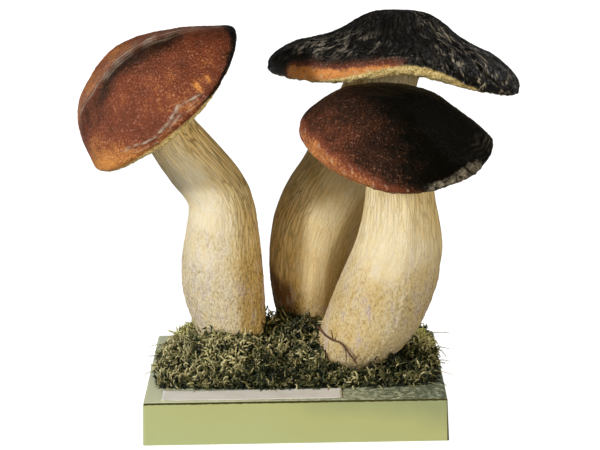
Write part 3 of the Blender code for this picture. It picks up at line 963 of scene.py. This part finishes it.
def lacquer_material():
    """Glossy pale green lacquer with a faint orange peel, painted shade and sheen, and dark lines along the
    front's edges.
    """
    look = bpy.context.scene.porcini_base
    material, tree, shader, place = start_material("green_lacquer_finish")
    x, y, height = add_node(tree, "ShaderNodeSeparateXYZ", {0: place}).outputs
    # Painted shade: the sides, and the top below, darken towards the right, away from the key light. The
    # sides also grow yellower towards the top and vary at random
    to_right = add_node(tree, "ShaderNodeMapRange", {0: x, 1: -SHADE_REACH, 2: SHADE_REACH}).outputs[0]
    clouds = add_noise(tree, place, 0.03, 2.0)
    side_tone_and_shade = add_sum(tree, 0.25, (height, 0.3 / PLINTH_TOP), (clouds, 0.35), (to_right, 0.3))
    sides = add_ramp(tree, side_tone_and_shade, [
        (0.4, look.lacquer), (0.8, look.lacquer_yellow), (1.0, look.lacquer_shade_on_sides),
    ])
    # Painted shade on the top: grey-green mottles that grow towards the right. The same mottles vary the
    # roughness
    smears_and_shade_mottle = add_noise(tree, place, 0.3, 5.0, 0.65)
    top_shade = add_sum(tree, 0.25, (to_right, add_sum(tree, -0.65, (smears_and_shade_mottle, 2.4))))
    # The top is a paler, greyer copy of the lacquer: a painted sheen
    top = add_ramp(tree, top_shade, [(0.3, look.lacquer_top_sheen), (0.85, look.lacquer_shade_on_top)])
    on_top = add_maths(tree, "GREATER_THAN", height, PLINTH_TOP - TOP_FACE_DEPTH)
    colour = add_mix(tree, on_top, sides, top)

    # A dark line along the top front edge, and painted shade down the rounded right end of the front
    ragged = add_noise(tree, place, 0.35, 3.0)
    from_top = add_sum(tree, add_maths(tree, "SUBTRACT", PLINTH_TOP, height), (ragged, 0.8))
    at_top = add_maths(tree, "LESS_THAN", from_top, EDGE_LINE_WIDTH)
    at_side = add_maths(tree, "GREATER_THAN", x, PLINTH_SIDE)
    in_front = add_maths(tree, "LESS_THAN", y, PLINTH_FRONT)
    edge_line_share = add_maths(tree, "MULTIPLY", add_maths(tree, "MAXIMUM", at_top, at_side), in_front)
    colour = add_mix(tree, edge_line_share, colour, look.edge_line_and_shade)
    peel = add_noise(tree, place, 0.5, 2.0)
    set_sockets(tree, shader, {
        "Base Color": colour,
        "Roughness": add_sum(tree, look.lacquer_roughness - 0.1, (smears_and_shade_mottle, 0.2)),
        "Normal": add_bump(tree, peel, 0.06, 0.4),
    })
    return material


def paper_material():
    """Slightly yellowed paper with a fine fibre."""
    look = bpy.context.scene.porcini_base
    material, tree, shader, place = start_material("label_paper_finish")
    fibre = add_noise(tree, place, 1.2, 5.0, 0.7)
    stains = add_noise(tree, place, 0.09, 3.0)
    mixed = add_sum(tree, 0.0, (stains, 0.6), (fibre, 0.4))
    colour = add_ramp(tree, mixed, [(0.3, look.paper_aged), (0.6, look.paper)])
    bump = add_bump(tree, fibre, 0.25, 0.1)
    set_sockets(tree, shader, {"Base Color": colour, "Roughness": 0.6, "Normal": bump})
    return material


def moss_material(name):
    """Dried moss that runs from dark green through olive and brown to straw, with fresh tips."""
    look = bpy.context.scene.porcini_moss
    material, tree, shader, place = start_material(name)
    fleck = add_noise(tree, place, 0.7, 3.0, 0.6)
    mixed = add_sum(tree, read_field(tree, "hue"), (fleck, 0.5))
    mixed = add_maths(tree, "SUBTRACT", mixed, 0.25, clamp=True)
    colour = add_ramp(tree, mixed, [
        (0.0, look.dark_green), (0.25, look.olive), (0.5, look.brown), (STRAW_HUE, look.straw),
        (1.0, look.fresh),
    ])
    set_sockets(tree, shader, {"Base Color": colour, "Roughness": 0.6})
    return material


def bark_material(name):
    """Thin dry bark, darker in places."""
    look = bpy.context.scene.porcini_moss
    material, tree, shader, place = start_material(name)
    fleck = add_noise(tree, place, 0.9, 4.0, 0.7)
    colour = add_ramp(tree, fleck, [(0.35, look.bark_dark), (0.65, look.bark)])
    set_sockets(tree, shader, {"Base Color": colour, "Roughness": 0.65})
    return material


def grow(bm, route, radii, sides=3):
    """Adds a closed shoot along a route, as thick at each point as radii says."""
    heading = (route[1] - route[0]).normalized()
    start = Matrix.Translation(route[0]) @ heading.to_track_quat("Z", "Y").to_matrix().to_4x4()
    ring = bmesh.ops.create_circle(bm, cap_ends=True, segments=sides, radius=radii[0], matrix=start)["verts"]
    end = ring[0].link_faces[0]
    for index in range(1, len(route)):
        ahead = route[min(index + 1, len(route) - 1)] - route[index - 1]
        swing = heading.rotation_difference(ahead.normalized())
        heading = ahead.normalized()
        made = bmesh.ops.extrude_face_region(bm, geom=[end])["geom"]
        end = next(item for item in made if isinstance(item, bmesh.types.BMFace))
        for vert in end.verts:
            vert.co = route[index] + swing @ (vert.co - route[index - 1]) * (radii[index] / radii[index - 1])


def bent_route(start, heading, bend_axis, length, bend, steps):
    """Points of a shoot that leaves start along heading and turns by bend radians on its way."""
    route = [start.copy()]
    for _ in range(steps):
        heading = Matrix.Rotation(bend / steps, 3, bend_axis) @ heading
        route.append(route[-1] + heading * (length / steps))
    return route


def level_route(length, bend, steps):
    """A template's route, which starts at the origin along X and bends downwards."""
    return bent_route(Vector((0, 0, 0)), Vector((1, 0, 0)), Vector((0, 1, 0)), length, bend, steps)


def template_arrays(bm):
    """A template's points and triangles, as arrays to copy."""
    bmesh.ops.triangulate(bm, faces=bm.faces)
    bmesh.ops.recalc_face_normals(bm, faces=bm.faces)
    bm.verts.index_update()
    points = np.array([vert.co for vert in bm.verts])
    triangles = np.array([[vert.index for vert in face.verts] for face in bm.faces])
    bm.free()
    return points, triangles


def curl_template(bend):
    """One curled leaf, 1 mm long, that tapers to both ends."""
    bm = bmesh.new()
    grow(bm, level_route(1.0, bend, len(CURL_RADII) - 1), CURL_RADII)
    return template_arrays(bm)


def frond_template(draw, bend):
    """A feathery frond: a stalk with curled leaves along both sides."""
    bm = bmesh.new()
    route = level_route(FROND_LENGTH, bend, len(FROND_RADII) - 1)
    grow(bm, route, FROND_RADII)
    for number in range(FROND_LEAVES):
        share = (number + 1) / (FROND_LEAVES + 1)
        scaled = share * (len(route) - 1)
        step = min(int(scaled), len(route) - 2)
        start = route[step].lerp(route[step + 1], scaled - step)
        forward = (route[step + 1] - route[step]).normalized()
        side = Vector((0, 1 if number % 2 else -1, draw.uniform(0.1, 0.9)))
        heading = (forward * draw.uniform(0.5, 1.1) + side).normalized()
        length = draw.uniform(1.7, 2.7) * (1.15 - 0.7 * share)
        axis = heading.cross(forward).normalized()
        leaf = bent_route(start, heading, axis, length, draw.uniform(1.0, 2.6), len(LEAF_RADII) - 1)
        grow(bm, leaf, LEAF_RADII)
    return template_arrays(bm)


def scatter(name, templates, placings, material):
    """One piece of many copies. Each placing is a template's number, a matrix in mm and a hue."""
    points, triangles, hues = [], [], []
    count = 0
    for number, matrix, hue in placings:
        template, faces = templates[number]
        turned = np.array(matrix)
        points.append(template @ turned[:3, :3].T + turned[:3, 3])
        triangles.append(faces + count)
        hues.append(np.full(len(template), hue))
        count += len(template)
    mesh = bpy.data.meshes.new(name)
    mesh.from_pydata(np.concatenate(points) * MM, [], np.concatenate(triangles))
    set_attribute(mesh, "hue", np.concatenate(hues))
    add_piece(name, mesh, material)


def foot_distance(x, y):
    """How far outside the nearest stem a place is, in mm, below 0 inside it."""
    return min(
        (math.hypot((x - foot_x) / width, (y - foot_y) / depth) - 1) * width
        for foot_x, foot_y, width, depth in FEET
    )


def moss_edge(x, y):
    """Share of the way from the middle of the moss, at 0, to its edge, at 1."""
    across = (x - MOSS_CENTRE[0]) / MOSS_HALF_SIZE[0]
    deep = (y - MOSS_CENTRE[1]) / MOSS_HALF_SIZE[1]
    wide = abs(across) / math.sqrt(1 - MOSS_CORNER_ROUNDING * min(deep * deep, 1.0))
    long = abs(deep) / math.sqrt(1 - MOSS_CORNER_ROUNDING * min(across * across, 1.0))
    return max(wide, long)


def spot(x, y, centre_x, centre_y, width, depth=None):
    """A smooth spot of 1 at its centre that fades over its width, and over its depth if that differs."""
    return math.exp(-(((x - centre_x) / width) ** 2 + ((y - centre_y) / (depth or width)) ** 2))


def bare_corner(x, y):
    """How much the moss draws back from the left rear corner of the plinth, as a share of its size."""
    return BARE_CORNER_SHARE * spot(x, y, *BARE_CORNER)


def moss_top(x, y):
    """Height of the mat in mm above the plinth."""
    share = min(max((y - MOSS_RISE[0]) / (MOSS_RISE[1] - MOSS_RISE[0]), 0.0), 1.0)
    climb = share * share * (3 - 2 * share)
    across = abs(x - MOSS_CENTRE[0]) / MOSS_HALF_SIZE[0]
    height = MAT_FRONT_HEIGHT + MAT_CLIMB * climb * (1 - 0.45 * across * across)
    for tuft_x, tuft_y, width, extra in TUFTS:
        height += 0.55 * extra * spot(x, y, tuft_x, tuft_y, width)
    height += 1.3 * noise.noise((x / 7, y / 7, 3.1)) + 0.7 * noise.noise((x / 3, y / 3, 7.7))
    return max(height * (1 - max(moss_edge(x, y), 0.0) ** 8 * 0.7), 0.4)


def moss_hue(x, y):
    """Hue of the moss at a place: 0 is dark green, a half is brown, 1 is fresh yellow-green."""
    hue = 0.42 + 0.22 * noise.noise((x / 16, y / 16, 1.5)) + 0.24 * noise.noise((x / 5, y / 5, 4.5))
    for spot_x, spot_y, width, depth, change in HUE_SPOTS:
        hue += change * spot(x, y, spot_x, spot_y, width, depth)
    return hue


def make_moss_mat():
    """The dense lower mat, closed underneath, which stands for the bed of the construction."""
    bm = bmesh.new()
    bmesh.ops.create_grid(bm, x_segments=MAT_GRID[0], y_segments=MAT_GRID[1], size=1.0)
    rim = [edge for edge in bm.edges if edge.is_boundary]
    skirt = bmesh.ops.extrude_edge_only(bm, edges=rim)["geom"]
    lower = {item for item in skirt if isinstance(item, bmesh.types.BMVert)}
    bmesh.ops.contextual_create(bm, geom=[item for item in skirt if isinstance(item, bmesh.types.BMEdge)])
    hues = []
    for vert in bm.verts:
        across, deep = vert.co.xy
        x = MOSS_CENTRE[0] + MOSS_HALF_SIZE[0] * across * math.sqrt(1 - MOSS_CORNER_ROUNDING * deep**2)
        y = MOSS_CENTRE[1] + MOSS_HALF_SIZE[1] * deep * math.sqrt(1 - MOSS_CORNER_ROUNDING * across**2)
        ragged = 1 + 0.04 * noise.noise((x / 6, y / 6, 2.2)) - bare_corner(x, y)
        x = MOSS_CENTRE[0] + (x - MOSS_CENTRE[0]) * ragged * MAT_SHRINK
        y = MOSS_CENTRE[1] + (y - MOSS_CENTRE[1]) * ragged * MAT_SHRINK
        height = MAT_SKIRT_HEIGHT if vert in lower else moss_top(x, y)
        vert.co = (x * MM, y * MM, (PLINTH_TOP + height) * MM)
        # Painted shade: the mat is much darker than the shoots, for the shade deep in the moss
        hues.append(min(max(moss_hue(x, y) - 0.45, 0.0), 1.0))
    mesh = mesh_from(bm, "moss_mat")
    set_attribute(mesh, "hue", hues)
    mat = add_piece("moss_mat", mesh, moss_material("moss_mat_finish"))
    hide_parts("moss")


def random_place(draw):
    """A place in the bed of moss and outside the stems."""
    while True:
        x = MOSS_CENTRE[0] + draw.uniform(-1, 1) * MOSS_HALF_SIZE[0]
        y = MOSS_CENTRE[1] + draw.uniform(-1, 1) * MOSS_HALF_SIZE[1]
        if moss_edge(x, y) < 1.0 - 1.3 * bare_corner(x, y) and foot_distance(x, y) > 0.4:
            return x, y


def shoot_matrix(x, y, z, yaw, pitch, roll, size):
    """From a template's frame, with its length along X, to a place in mm."""
    turn = Matrix.Rotation(yaw, 4, "Z") @ Matrix.Rotation(-pitch, 4, "Y") @ Matrix.Rotation(roll, 4, "X")
    return Matrix.Translation((x, y, z)) @ turn @ Matrix.Scale(size, 4)


def heading_out(draw, x, y, spread):
    """A random heading that leans away from the middle of the moss."""
    out = math.atan2(y - MOSS_CENTRE[1], (x - MOSS_CENTRE[0]) * 0.7)
    return out + draw.gauss(0, spread)


def clinging_place(draw):
    """A place close round the foot of one of the stems, and how high a leaf clings there."""
    foot_x, foot_y, width, depth = draw.choice(FEET)
    angle = draw.uniform(0, math.tau)
    gap = 1 + draw.uniform(0.01, 0.16)
    climb = abs(draw.gauss(0, 1.6)) * (1.3 + math.sin(3 * angle + foot_x))
    return foot_x + width * gap * math.cos(angle), foot_y + depth * gap * math.sin(angle), climb


def moss_shade(x, y, change):
    """Hue of a shoot at a place. Only the fresh tufts at the rear corners go beyond straw."""
    hue = min(max(moss_hue(x, y) + change, 0.0), STRAW_HUE)
    for tuft_x, tuft_y, width in FRESH_TUFTS:
        hue += (1 - hue) * 0.85 * spot(x, y, tuft_x, tuft_y, width)
    return hue


def make_curls(name, draw, count, lifts, change, material):
    """Single curled leaves, scattered over the mat at lifts from low to high and up against the stems, with
    their hue changed a little."""
    placings = []
    for number in range(count):
        if number % CLINGING_EVERY == 0:
            x, y, lift = clinging_place(draw)
        else:
            x, y = random_place(draw)
            lift = draw.uniform(*lifts)
        if foot_distance(x, y) < 0.2:
            continue
        pitch = draw.uniform(-0.2, 1.0)
        size = draw.uniform(*CURL_SIZES)
        hue = moss_shade(x, y, change + draw.gauss(0, 0.16))
        z = PLINTH_TOP + moss_top(x, y) + lift
        yaw = draw.uniform(0, math.tau)
        roll = draw.uniform(0, math.tau)
        matrix = shoot_matrix(x, y, z, yaw, pitch, roll, size)
        placings.append((draw.randrange(len(CURL_BENDS)), matrix, hue))
    scatter(name, [curl_template(bend) for bend in CURL_BENDS], placings, material)


def make_fronds(settings):
    """Feathery fronds, and the curled leaves between them."""
    draw = random.Random(FROND_SEED)
    fronds = [frond_template(draw, bend) for bend in FROND_BENDS]
    material = moss_material("moss_frond_finish")
    placings = []
    for _ in range(settings.fronds):
        x, y = random_place(draw)
        edge = moss_edge(x, y)
        pitch = draw.uniform(0.1, 0.9) * (1.1 - 0.7 * edge)
        yaw = heading_out(draw, x, y, 1.6 - 0.6 * edge)
        size = draw.uniform(0.55, 1.0) * settings.frond_length / (FROND_LENGTH * MM)
        hue = moss_shade(x, y, draw.gauss(-0.1, 0.2))
        z = PLINTH_TOP + moss_top(x, y) * draw.uniform(0.75, 1.05)
        matrix = shoot_matrix(x, y, z, yaw, pitch, draw.gauss(0, 0.6), size)
        placings.append((draw.randrange(len(FROND_BENDS)), matrix, hue))
    scatter("moss_fronds", fronds, placings, material)
    # Painted shade on the lower curls and painted light on the upper ones
    make_curls("moss_curls_lower", draw, settings.curls, (-1.4, 0.8), -0.26, material)
    make_curls("moss_curls_upper", draw, settings.curls * 3 // 4, (0.0, 2.8), 0.16, material)


def make_stalks():
    """Long bare stalks that stick out of the moss."""
    draw = random.Random(STALK_SEED)
    bm = bmesh.new()
    radii = [STALK_RADIUS * MM * (1 - 0.12 * step) for step in range(STALK_STEPS + 1)]
    for x, y, yaw, pitch, length in STALKS:
        turn = Matrix.Rotation(math.radians(yaw), 3, "Z") @ Matrix.Rotation(-math.radians(pitch), 3, "Y")
        axis = turn @ Vector((draw.uniform(-0.5, 0.5), 1.0, 0.0))
        start = Vector((x, y, PLINTH_TOP + moss_top(x, y) - 0.5))
        heading = turn @ Vector((1, 0, 0))
        route = bent_route(start, heading, axis, length, draw.uniform(0.2, 1.1), STALK_STEPS)
        grow(bm, [point * MM for point in route], radii, 4)
    mesh = mesh_from(bm, "moss_stalks")
    set_attribute(mesh, "hue", [draw.uniform(0.35, 0.85) for _ in mesh.vertices])
    add_piece("moss_stalks", mesh, moss_material("moss_stalk_finish"))


def smooth_route(points, per_stretch):
    """Points of a smooth line through a listed route in mm, in metres."""
    places = np.linspace(0, 1, (len(points) - 1) * per_stretch + 1)
    return [Vector(point) * MM for point in along(points, places).T.tolist()]


def make_twigs():
    """The knotty twig with its shoots, which replaces the plain one, and a smaller one beside it."""
    bm = bmesh.new()
    route = smooth_route(TWIG_ROUTE, 4)
    radii = []
    for index in range(len(route)):
        knot = TWIG_KNOT if index % TWIG_KNOT_EVERY == TWIG_KNOT_EVERY // 2 else 0.0
        radii.append((TWIG_RADIUS - TWIG_TAPER * index / len(route) + knot) * MM)
    grow(bm, route, radii, 6)
    for shoot in TWIG_SHOOTS:
        line = smooth_route(shoot, 4)
        thin = [(SHOOT_RADIUS - SHOOT_TAPER * index / len(line)) * MM for index in range(len(line))]
        grow(bm, line, thin, 5)
    piece = add_piece("twigs", mesh_from(bm, "twigs"), bark_material("twig_bark_finish"))
    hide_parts("twig")


def make_label():
    """A strip of plain paper, a little wavy, with corners that lift."""
    low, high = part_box("label")
    bm = bmesh.new()
    bmesh.ops.create_grid(bm, x_segments=LABEL_GRID[0], y_segments=LABEL_GRID[1], size=0.5)
    for vert in bm.verts:
        x = low.x + (vert.co.x + 0.5) * (high.x - low.x)
        y = low.y + (vert.co.y + 0.5) * (high.y - low.y)
        corner = abs(vert.co.x * 2) ** 14 * abs(vert.co.y * 2) ** 2
        wave = 0.16 * noise.noise((x / MM / 14, y / MM / 9, 0.4))
        vert.co = (x, y, low.z + (LABEL_LIFT + max(wave, -0.1) + 0.5 * corner) * MM)
    bmesh.ops.recalc_face_normals(bm, faces=bm.faces)
    bmesh.ops.solidify(bm, geom=bm.faces, thickness=LABEL_THICKNESS * MM)
    piece = add_piece("label_strip", mesh_from(bm, "label_strip"), paper_material())
    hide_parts("label")


def finish_plinth():
    """The construction's plinth in green lacquer."""
    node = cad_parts["plinth"]
    material = lacquer_material()
    for material_slot in node.material_slots:
        material_slot.material = material


def add_area_light(name, place, power, colour=(1.0, 1.0, 1.0), shows_in_gloss=True):
    """A soft square light that faces the group from its place."""
    direction, distance, size = place
    light = bpy.data.lights.new(name, "AREA")
    light.size = size
    light.energy = power
    light.color = colour
    lamp = bpy.data.objects.new(name, light)
    away = Vector(direction).normalized() * distance
    lamp.location = Vector(LIGHT_TARGET) + away
    lamp.rotation_euler = (-away).to_track_quat("-Z", "Y").to_euler()
    lamp.visible_glossy = shows_in_gloss
    bpy.context.scene.collection.objects.link(lamp)


def make_floor(settings):
    """A white floor that glows by itself."""
    bm = bmesh.new()
    bmesh.ops.create_grid(bm, x_segments=8, y_segments=8, size=FLOOR_HALF_SIZE)
    mesh = mesh_from(bm, "floor")
    material, tree, shader, place = start_material("floor_paper")
    clouds = add_noise(tree, place, 0.002, 2.0)
    set_sockets(tree, shader, {
        "Base Color": add_ramp(tree, clouds, [(0.0, settings.floor), (1.0, FLOOR_CLOUDS)]),
        "Roughness": 0.9,
        "Emission Color": (1, 1, 1, 1),
        "Emission Strength": settings.floor_glow,
    })
    mesh.materials.append(material)
    floor = bpy.data.objects.new("floor", mesh)
    bpy.context.scene.collection.objects.link(floor)
    # Only the floor itself receives its glow, so that it stays white and doesn't light the group
    lit_by_floor = bpy.data.collections.new("lit_by_floor")
    lit_by_floor.objects.link(floor)
    floor.light_linking.receiver_collection = lit_by_floor


def make_camera():
    """The camera, where the photo was taken from."""
    camera = bpy.data.cameras.new("camera")
    camera.sensor_width = CAMERA_SENSOR
    camera.lens = CAMERA_LENS
    camera.clip_start = 0.05
    camera_object = bpy.data.objects.new("camera", camera)
    turn = Matrix.Rotation(-CAMERA_YAW, 4, "Z") @ Matrix.Rotation(math.pi / 2 - CAMERA_PITCH, 4, "X")
    turn = turn @ Matrix.Rotation(CAMERA_ROLL, 4, "Z")
    camera_object.matrix_world = Matrix.Translation(CAMERA_PLACE) @ turn
    bpy.context.scene.collection.objects.link(camera_object)
    bpy.context.scene.camera = camera_object


def make_stage(settings):
    """The floor, a key light from the left, softer fills, a little light from all around and the camera."""
    make_floor(settings)
    add_area_light("key", KEY_PLACE, settings.key_power)
    add_area_light("fill", FILL_PLACE, settings.fill_power, settings.fill_colour, shows_in_gloss=False)
    add_area_light("back_light", BACK_LIGHT_PLACE, settings.back_power)
    add_area_light("rear_fill", REAR_FILL_PLACE, settings.rear_fill_power, shows_in_gloss=False)

    world = bpy.data.worlds.new("studio")
    world.use_nodes = True
    background = world.node_tree.nodes["Background"]
    set_sockets(world.node_tree, background, {"Color": (1, 1, 1, 1), "Strength": settings.world_strength})
    bpy.context.scene.world = world
    bpy.context.scene.view_settings.view_transform = "Standard"
    make_camera()


def colour_property(name, red, green, blue, description):
    """A colour a user may change, given in the 0 to 255 values of a paint chart."""
    return FloatVectorProperty(
        name=name, description=description, subtype="COLOR", size=3, min=0.0, max=1.0,
        default=paint_colour(red, green, blue),
    )


def power_property(name, watts, description):
    """The power of a light, which a user may change."""
    return FloatProperty(
        name=name, description=description, default=watts, min=0, max=1000, unit="POWER"
    )


class PORCINI_PG_mushrooms(bpy.types.PropertyGroup):
    """Fineness and colours of the mushrooms."""

    segments: IntProperty(
        name="Segments", description="Points round each ring of a mushroom", default=320, min=24, max=384
    )
    skin_orange: colour_property("Orange skin", 236, 156, 74, "Cap skin where it is palest, at the margin")
    skin_red_brown: colour_property("Red-brown skin", 136, 68, 40, "Cap skin over most of the left cap")
    skin_dark: colour_property("Dark skin", 56, 31, 16, "Cap skin in the middle of the front cap")
    skin_black: colour_property("Black skin", 14, 12, 6, "Cap skin where it is darkest")
    # Painted highlight: glint dots painted into the cap skin's colour
    skin_painted_glint: colour_property("Glints", 214, 166, 136, "Tiny pale dots of the cap skin")
    # Pale marks: real dry crests, crust and crumbs, and also painted highlights on gloss streaks, creases
    # and rims
    chalk_and_highlight: colour_property("Chalky skin", 208, 196, 174, "Dry, pale crests of wrinkles")
    pore_yellow: colour_property("Yellow pores", 252, 234, 174, "Light crumbs of the pores")
    pore_olive: colour_property("Olive pores", 218, 186, 110, "Most of the pores")
    pore_dark: colour_property("Dark pores", 120, 88, 44, "Pits between the pores")
    stem_cream: colour_property("Cream stem", 252, 243, 220, "Palest part of a stem")
    stem_buff: colour_property("Buff stem", 248, 228, 180, "Most of a stem")
    stem_ochre: colour_property("Ochre stem", 236, 200, 126, "Shaded sides of a stem")
    stem_brown: colour_property("Brown stem", 120, 78, 36, "Darkest threads of a stem")
    stem_thread: colour_property("Stem net", 116, 90, 42, "Long dark threads of a stem")
    stem_bloom: colour_property("Pinkish grains", 236, 214, 204, "Grains of a stem's foot")


class PORCINI_PG_moss(bpy.types.PropertyGroup):
    """Amount and colours of the moss and twigs."""

    fronds: IntProperty(
        name="Fronds", description="Feathery fronds in the moss", default=450, min=10, max=2500
    )
    curls: IntProperty(
        name="Curls", description="Single curled leaves in the moss's lower layer", default=8500,
        min=10, max=9000,
    )
    frond_length: FloatProperty(
        name="Frond length", description="Length of the longest fronds", default=0.011, min=0.004, max=0.02,
        subtype="DISTANCE", unit="LENGTH",
    )
    dark_green: colour_property("Dark green", 14, 22, 14, "Moss in the darkest patches")
    olive: colour_property("Olive", 66, 76, 42, "Green moss")
    brown: colour_property("Olive brown", 132, 126, 78, "Dried moss")
    straw: colour_property("Straw", 230, 220, 168, "Palest dried tips")
    fresh: colour_property("Fresh", 216, 226, 104, "Yellow-green tufts")
    bark: colour_property("Bark", 122, 88, 62, "Twig bark")
    bark_dark: colour_property("Dark bark", 66, 44, 32, "Knots and shaded bark")


class PORCINI_PG_base(bpy.types.PropertyGroup):
    """Finish of the plinth and its paper strip."""

    lacquer: colour_property("Lacquer", 196, 206, 150, "Pale green lacquer")
    # Painted sheen: the top is painted paler and greyer than the sides
    lacquer_top_sheen: colour_property("Lacquer on top", 236, 242, 206, "Paler lacquer of the plinth's top")
    # Painted shade, mottled, over the right of the plinth's top
    lacquer_shade_on_top: colour_property("Grime", 112, 122, 98, "Grey-green smears on the plinth's top")
    # Painted shade: the darkest lacquer, towards the right of the sides
    lacquer_shade_on_sides: colour_property("Dull lacquer", 168, 176, 128, "Lacquer where it is darkest")
    lacquer_yellow: colour_property("Yellowed lacquer", 196, 200, 138, "Lacquer where it has yellowed")
    # Dark line along the top front edge, and painted shade down the front's rounded right end
    edge_line_and_shade: colour_property("Worn edge", 74, 70, 36, "Dark line along the top front edge")
    paper: colour_property("Paper", 252, 250, 246, "Clean paper")
    paper_aged: colour_property("Aged paper", 242, 236, 226, "Yellowed paper")
    lacquer_roughness: FloatProperty(
        name="Lacquer roughness", description="How dull the lacquer is", default=0.24, min=0.05, max=1.0,
        subtype="FACTOR",
    )


class PORCINI_PG_stage(bpy.types.PropertyGroup):
    """Floor and lights."""

    floor: colour_property("Floor", 150, 150, 150, "White paper floor")
    floor_glow: FloatProperty(
        name="Floor glow", description="Light that the floor gives off", default=0.97, min=0.0, max=2.0
    )
    world_strength: FloatProperty(
        name="Room light", description="Light from all around", default=0.06, min=0.0, max=5.0
    )
    key_power: power_property("Key light", 19, "Power of the light from the left")
    fill_colour: colour_property("Fill colour", 255, 244, 222, "Warm tint of the light from the front")
    fill_power: power_property("Fill light", 31, "Power of the light from the front")
    back_power: power_property("Back light", 2, "Power of the small light from the right and behind")
    rear_fill_power: power_property("Rear fill", 16, "Power of the soft light on the far side")


class PORCINI_OT_mushrooms(bpy.types.Operator):
    """Build the three mushrooms with their skin, pores and stems."""

    bl_idname = "porcini.mushrooms"
    bl_label = "Mushrooms"

    def execute(self, context):
        for name, mushroom in MUSHROOMS.items():
            make_mushroom(name, mushroom, context.scene.porcini_mushrooms.segments)
        return {"FINISHED"}


class PORCINI_OT_moss(bpy.types.Operator):
    """Build the bed of moss with its fronds and curled leaves."""

    bl_idname = "porcini.moss"
    bl_label = "Moss"

    def execute(self, context):
        make_moss_mat()
        make_fronds(context.scene.porcini_moss)
        make_stalks()
        return {"FINISHED"}


class PORCINI_OT_twigs(bpy.types.Operator):
    """Build the dry twigs that lie on the front mushroom's foot."""

    bl_idname = "porcini.twigs"
    bl_label = "Twigs"

    def execute(self, context):
        make_twigs()
        return {"FINISHED"}


class PORCINI_OT_base(bpy.types.Operator):
    """Finish the plinth and lay the strip of paper on it."""

    bl_idname = "porcini.base"
    bl_label = "Plinth and label"

    def execute(self, context):
        finish_plinth()
        make_label()
        return {"FINISHED"}


class PORCINI_OT_stage(bpy.types.Operator):
    """Set up the floor, the lights and the camera."""

    bl_idname = "porcini.stage"
    bl_label = "Stage"

    def execute(self, context):
        make_stage(context.scene.porcini_stage)
        return {"FINISHED"}


class PORCINI_PT_panel(bpy.types.Panel):
    """The steps of the build, in order."""

    bl_label = "Porcini Group"
    bl_idname = "PORCINI_PT_panel"
    bl_space_type = "VIEW_3D"
    bl_region_type = "UI"
    bl_category = "Porcini"

    def draw(self, context):
        for operator in OPERATORS:
            self.layout.operator(operator.bl_idname)


OPERATORS = (
    PORCINI_OT_mushrooms, PORCINI_OT_moss, PORCINI_OT_twigs, PORCINI_OT_base, PORCINI_OT_stage,
)
SETTINGS = {
    "porcini_mushrooms": PORCINI_PG_mushrooms,
    "porcini_moss": PORCINI_PG_moss,
    "porcini_base": PORCINI_PG_base,
    "porcini_stage": PORCINI_PG_stage,
}


def register():
    for made in (*SETTINGS.values(), *OPERATORS, PORCINI_PT_panel):
        bpy.utils.register_class(made)
    for name, group in SETTINGS.items():
        setattr(bpy.types.Scene, name, PointerProperty(type=group))


def unregister():
    for name in SETTINGS:
        delattr(bpy.types.Scene, name)
    for made in reversed((*SETTINGS.values(), *OPERATORS, PORCINI_PT_panel)):
        bpy.utils.unregister_class(made)


def main():
    register()
    bpy.ops.porcini.stage()
    bpy.ops.porcini.base()
    bpy.ops.porcini.moss()
    bpy.ops.porcini.twigs()
    bpy.ops.porcini.mushrooms()


if __name__ == "__main__":
    main()
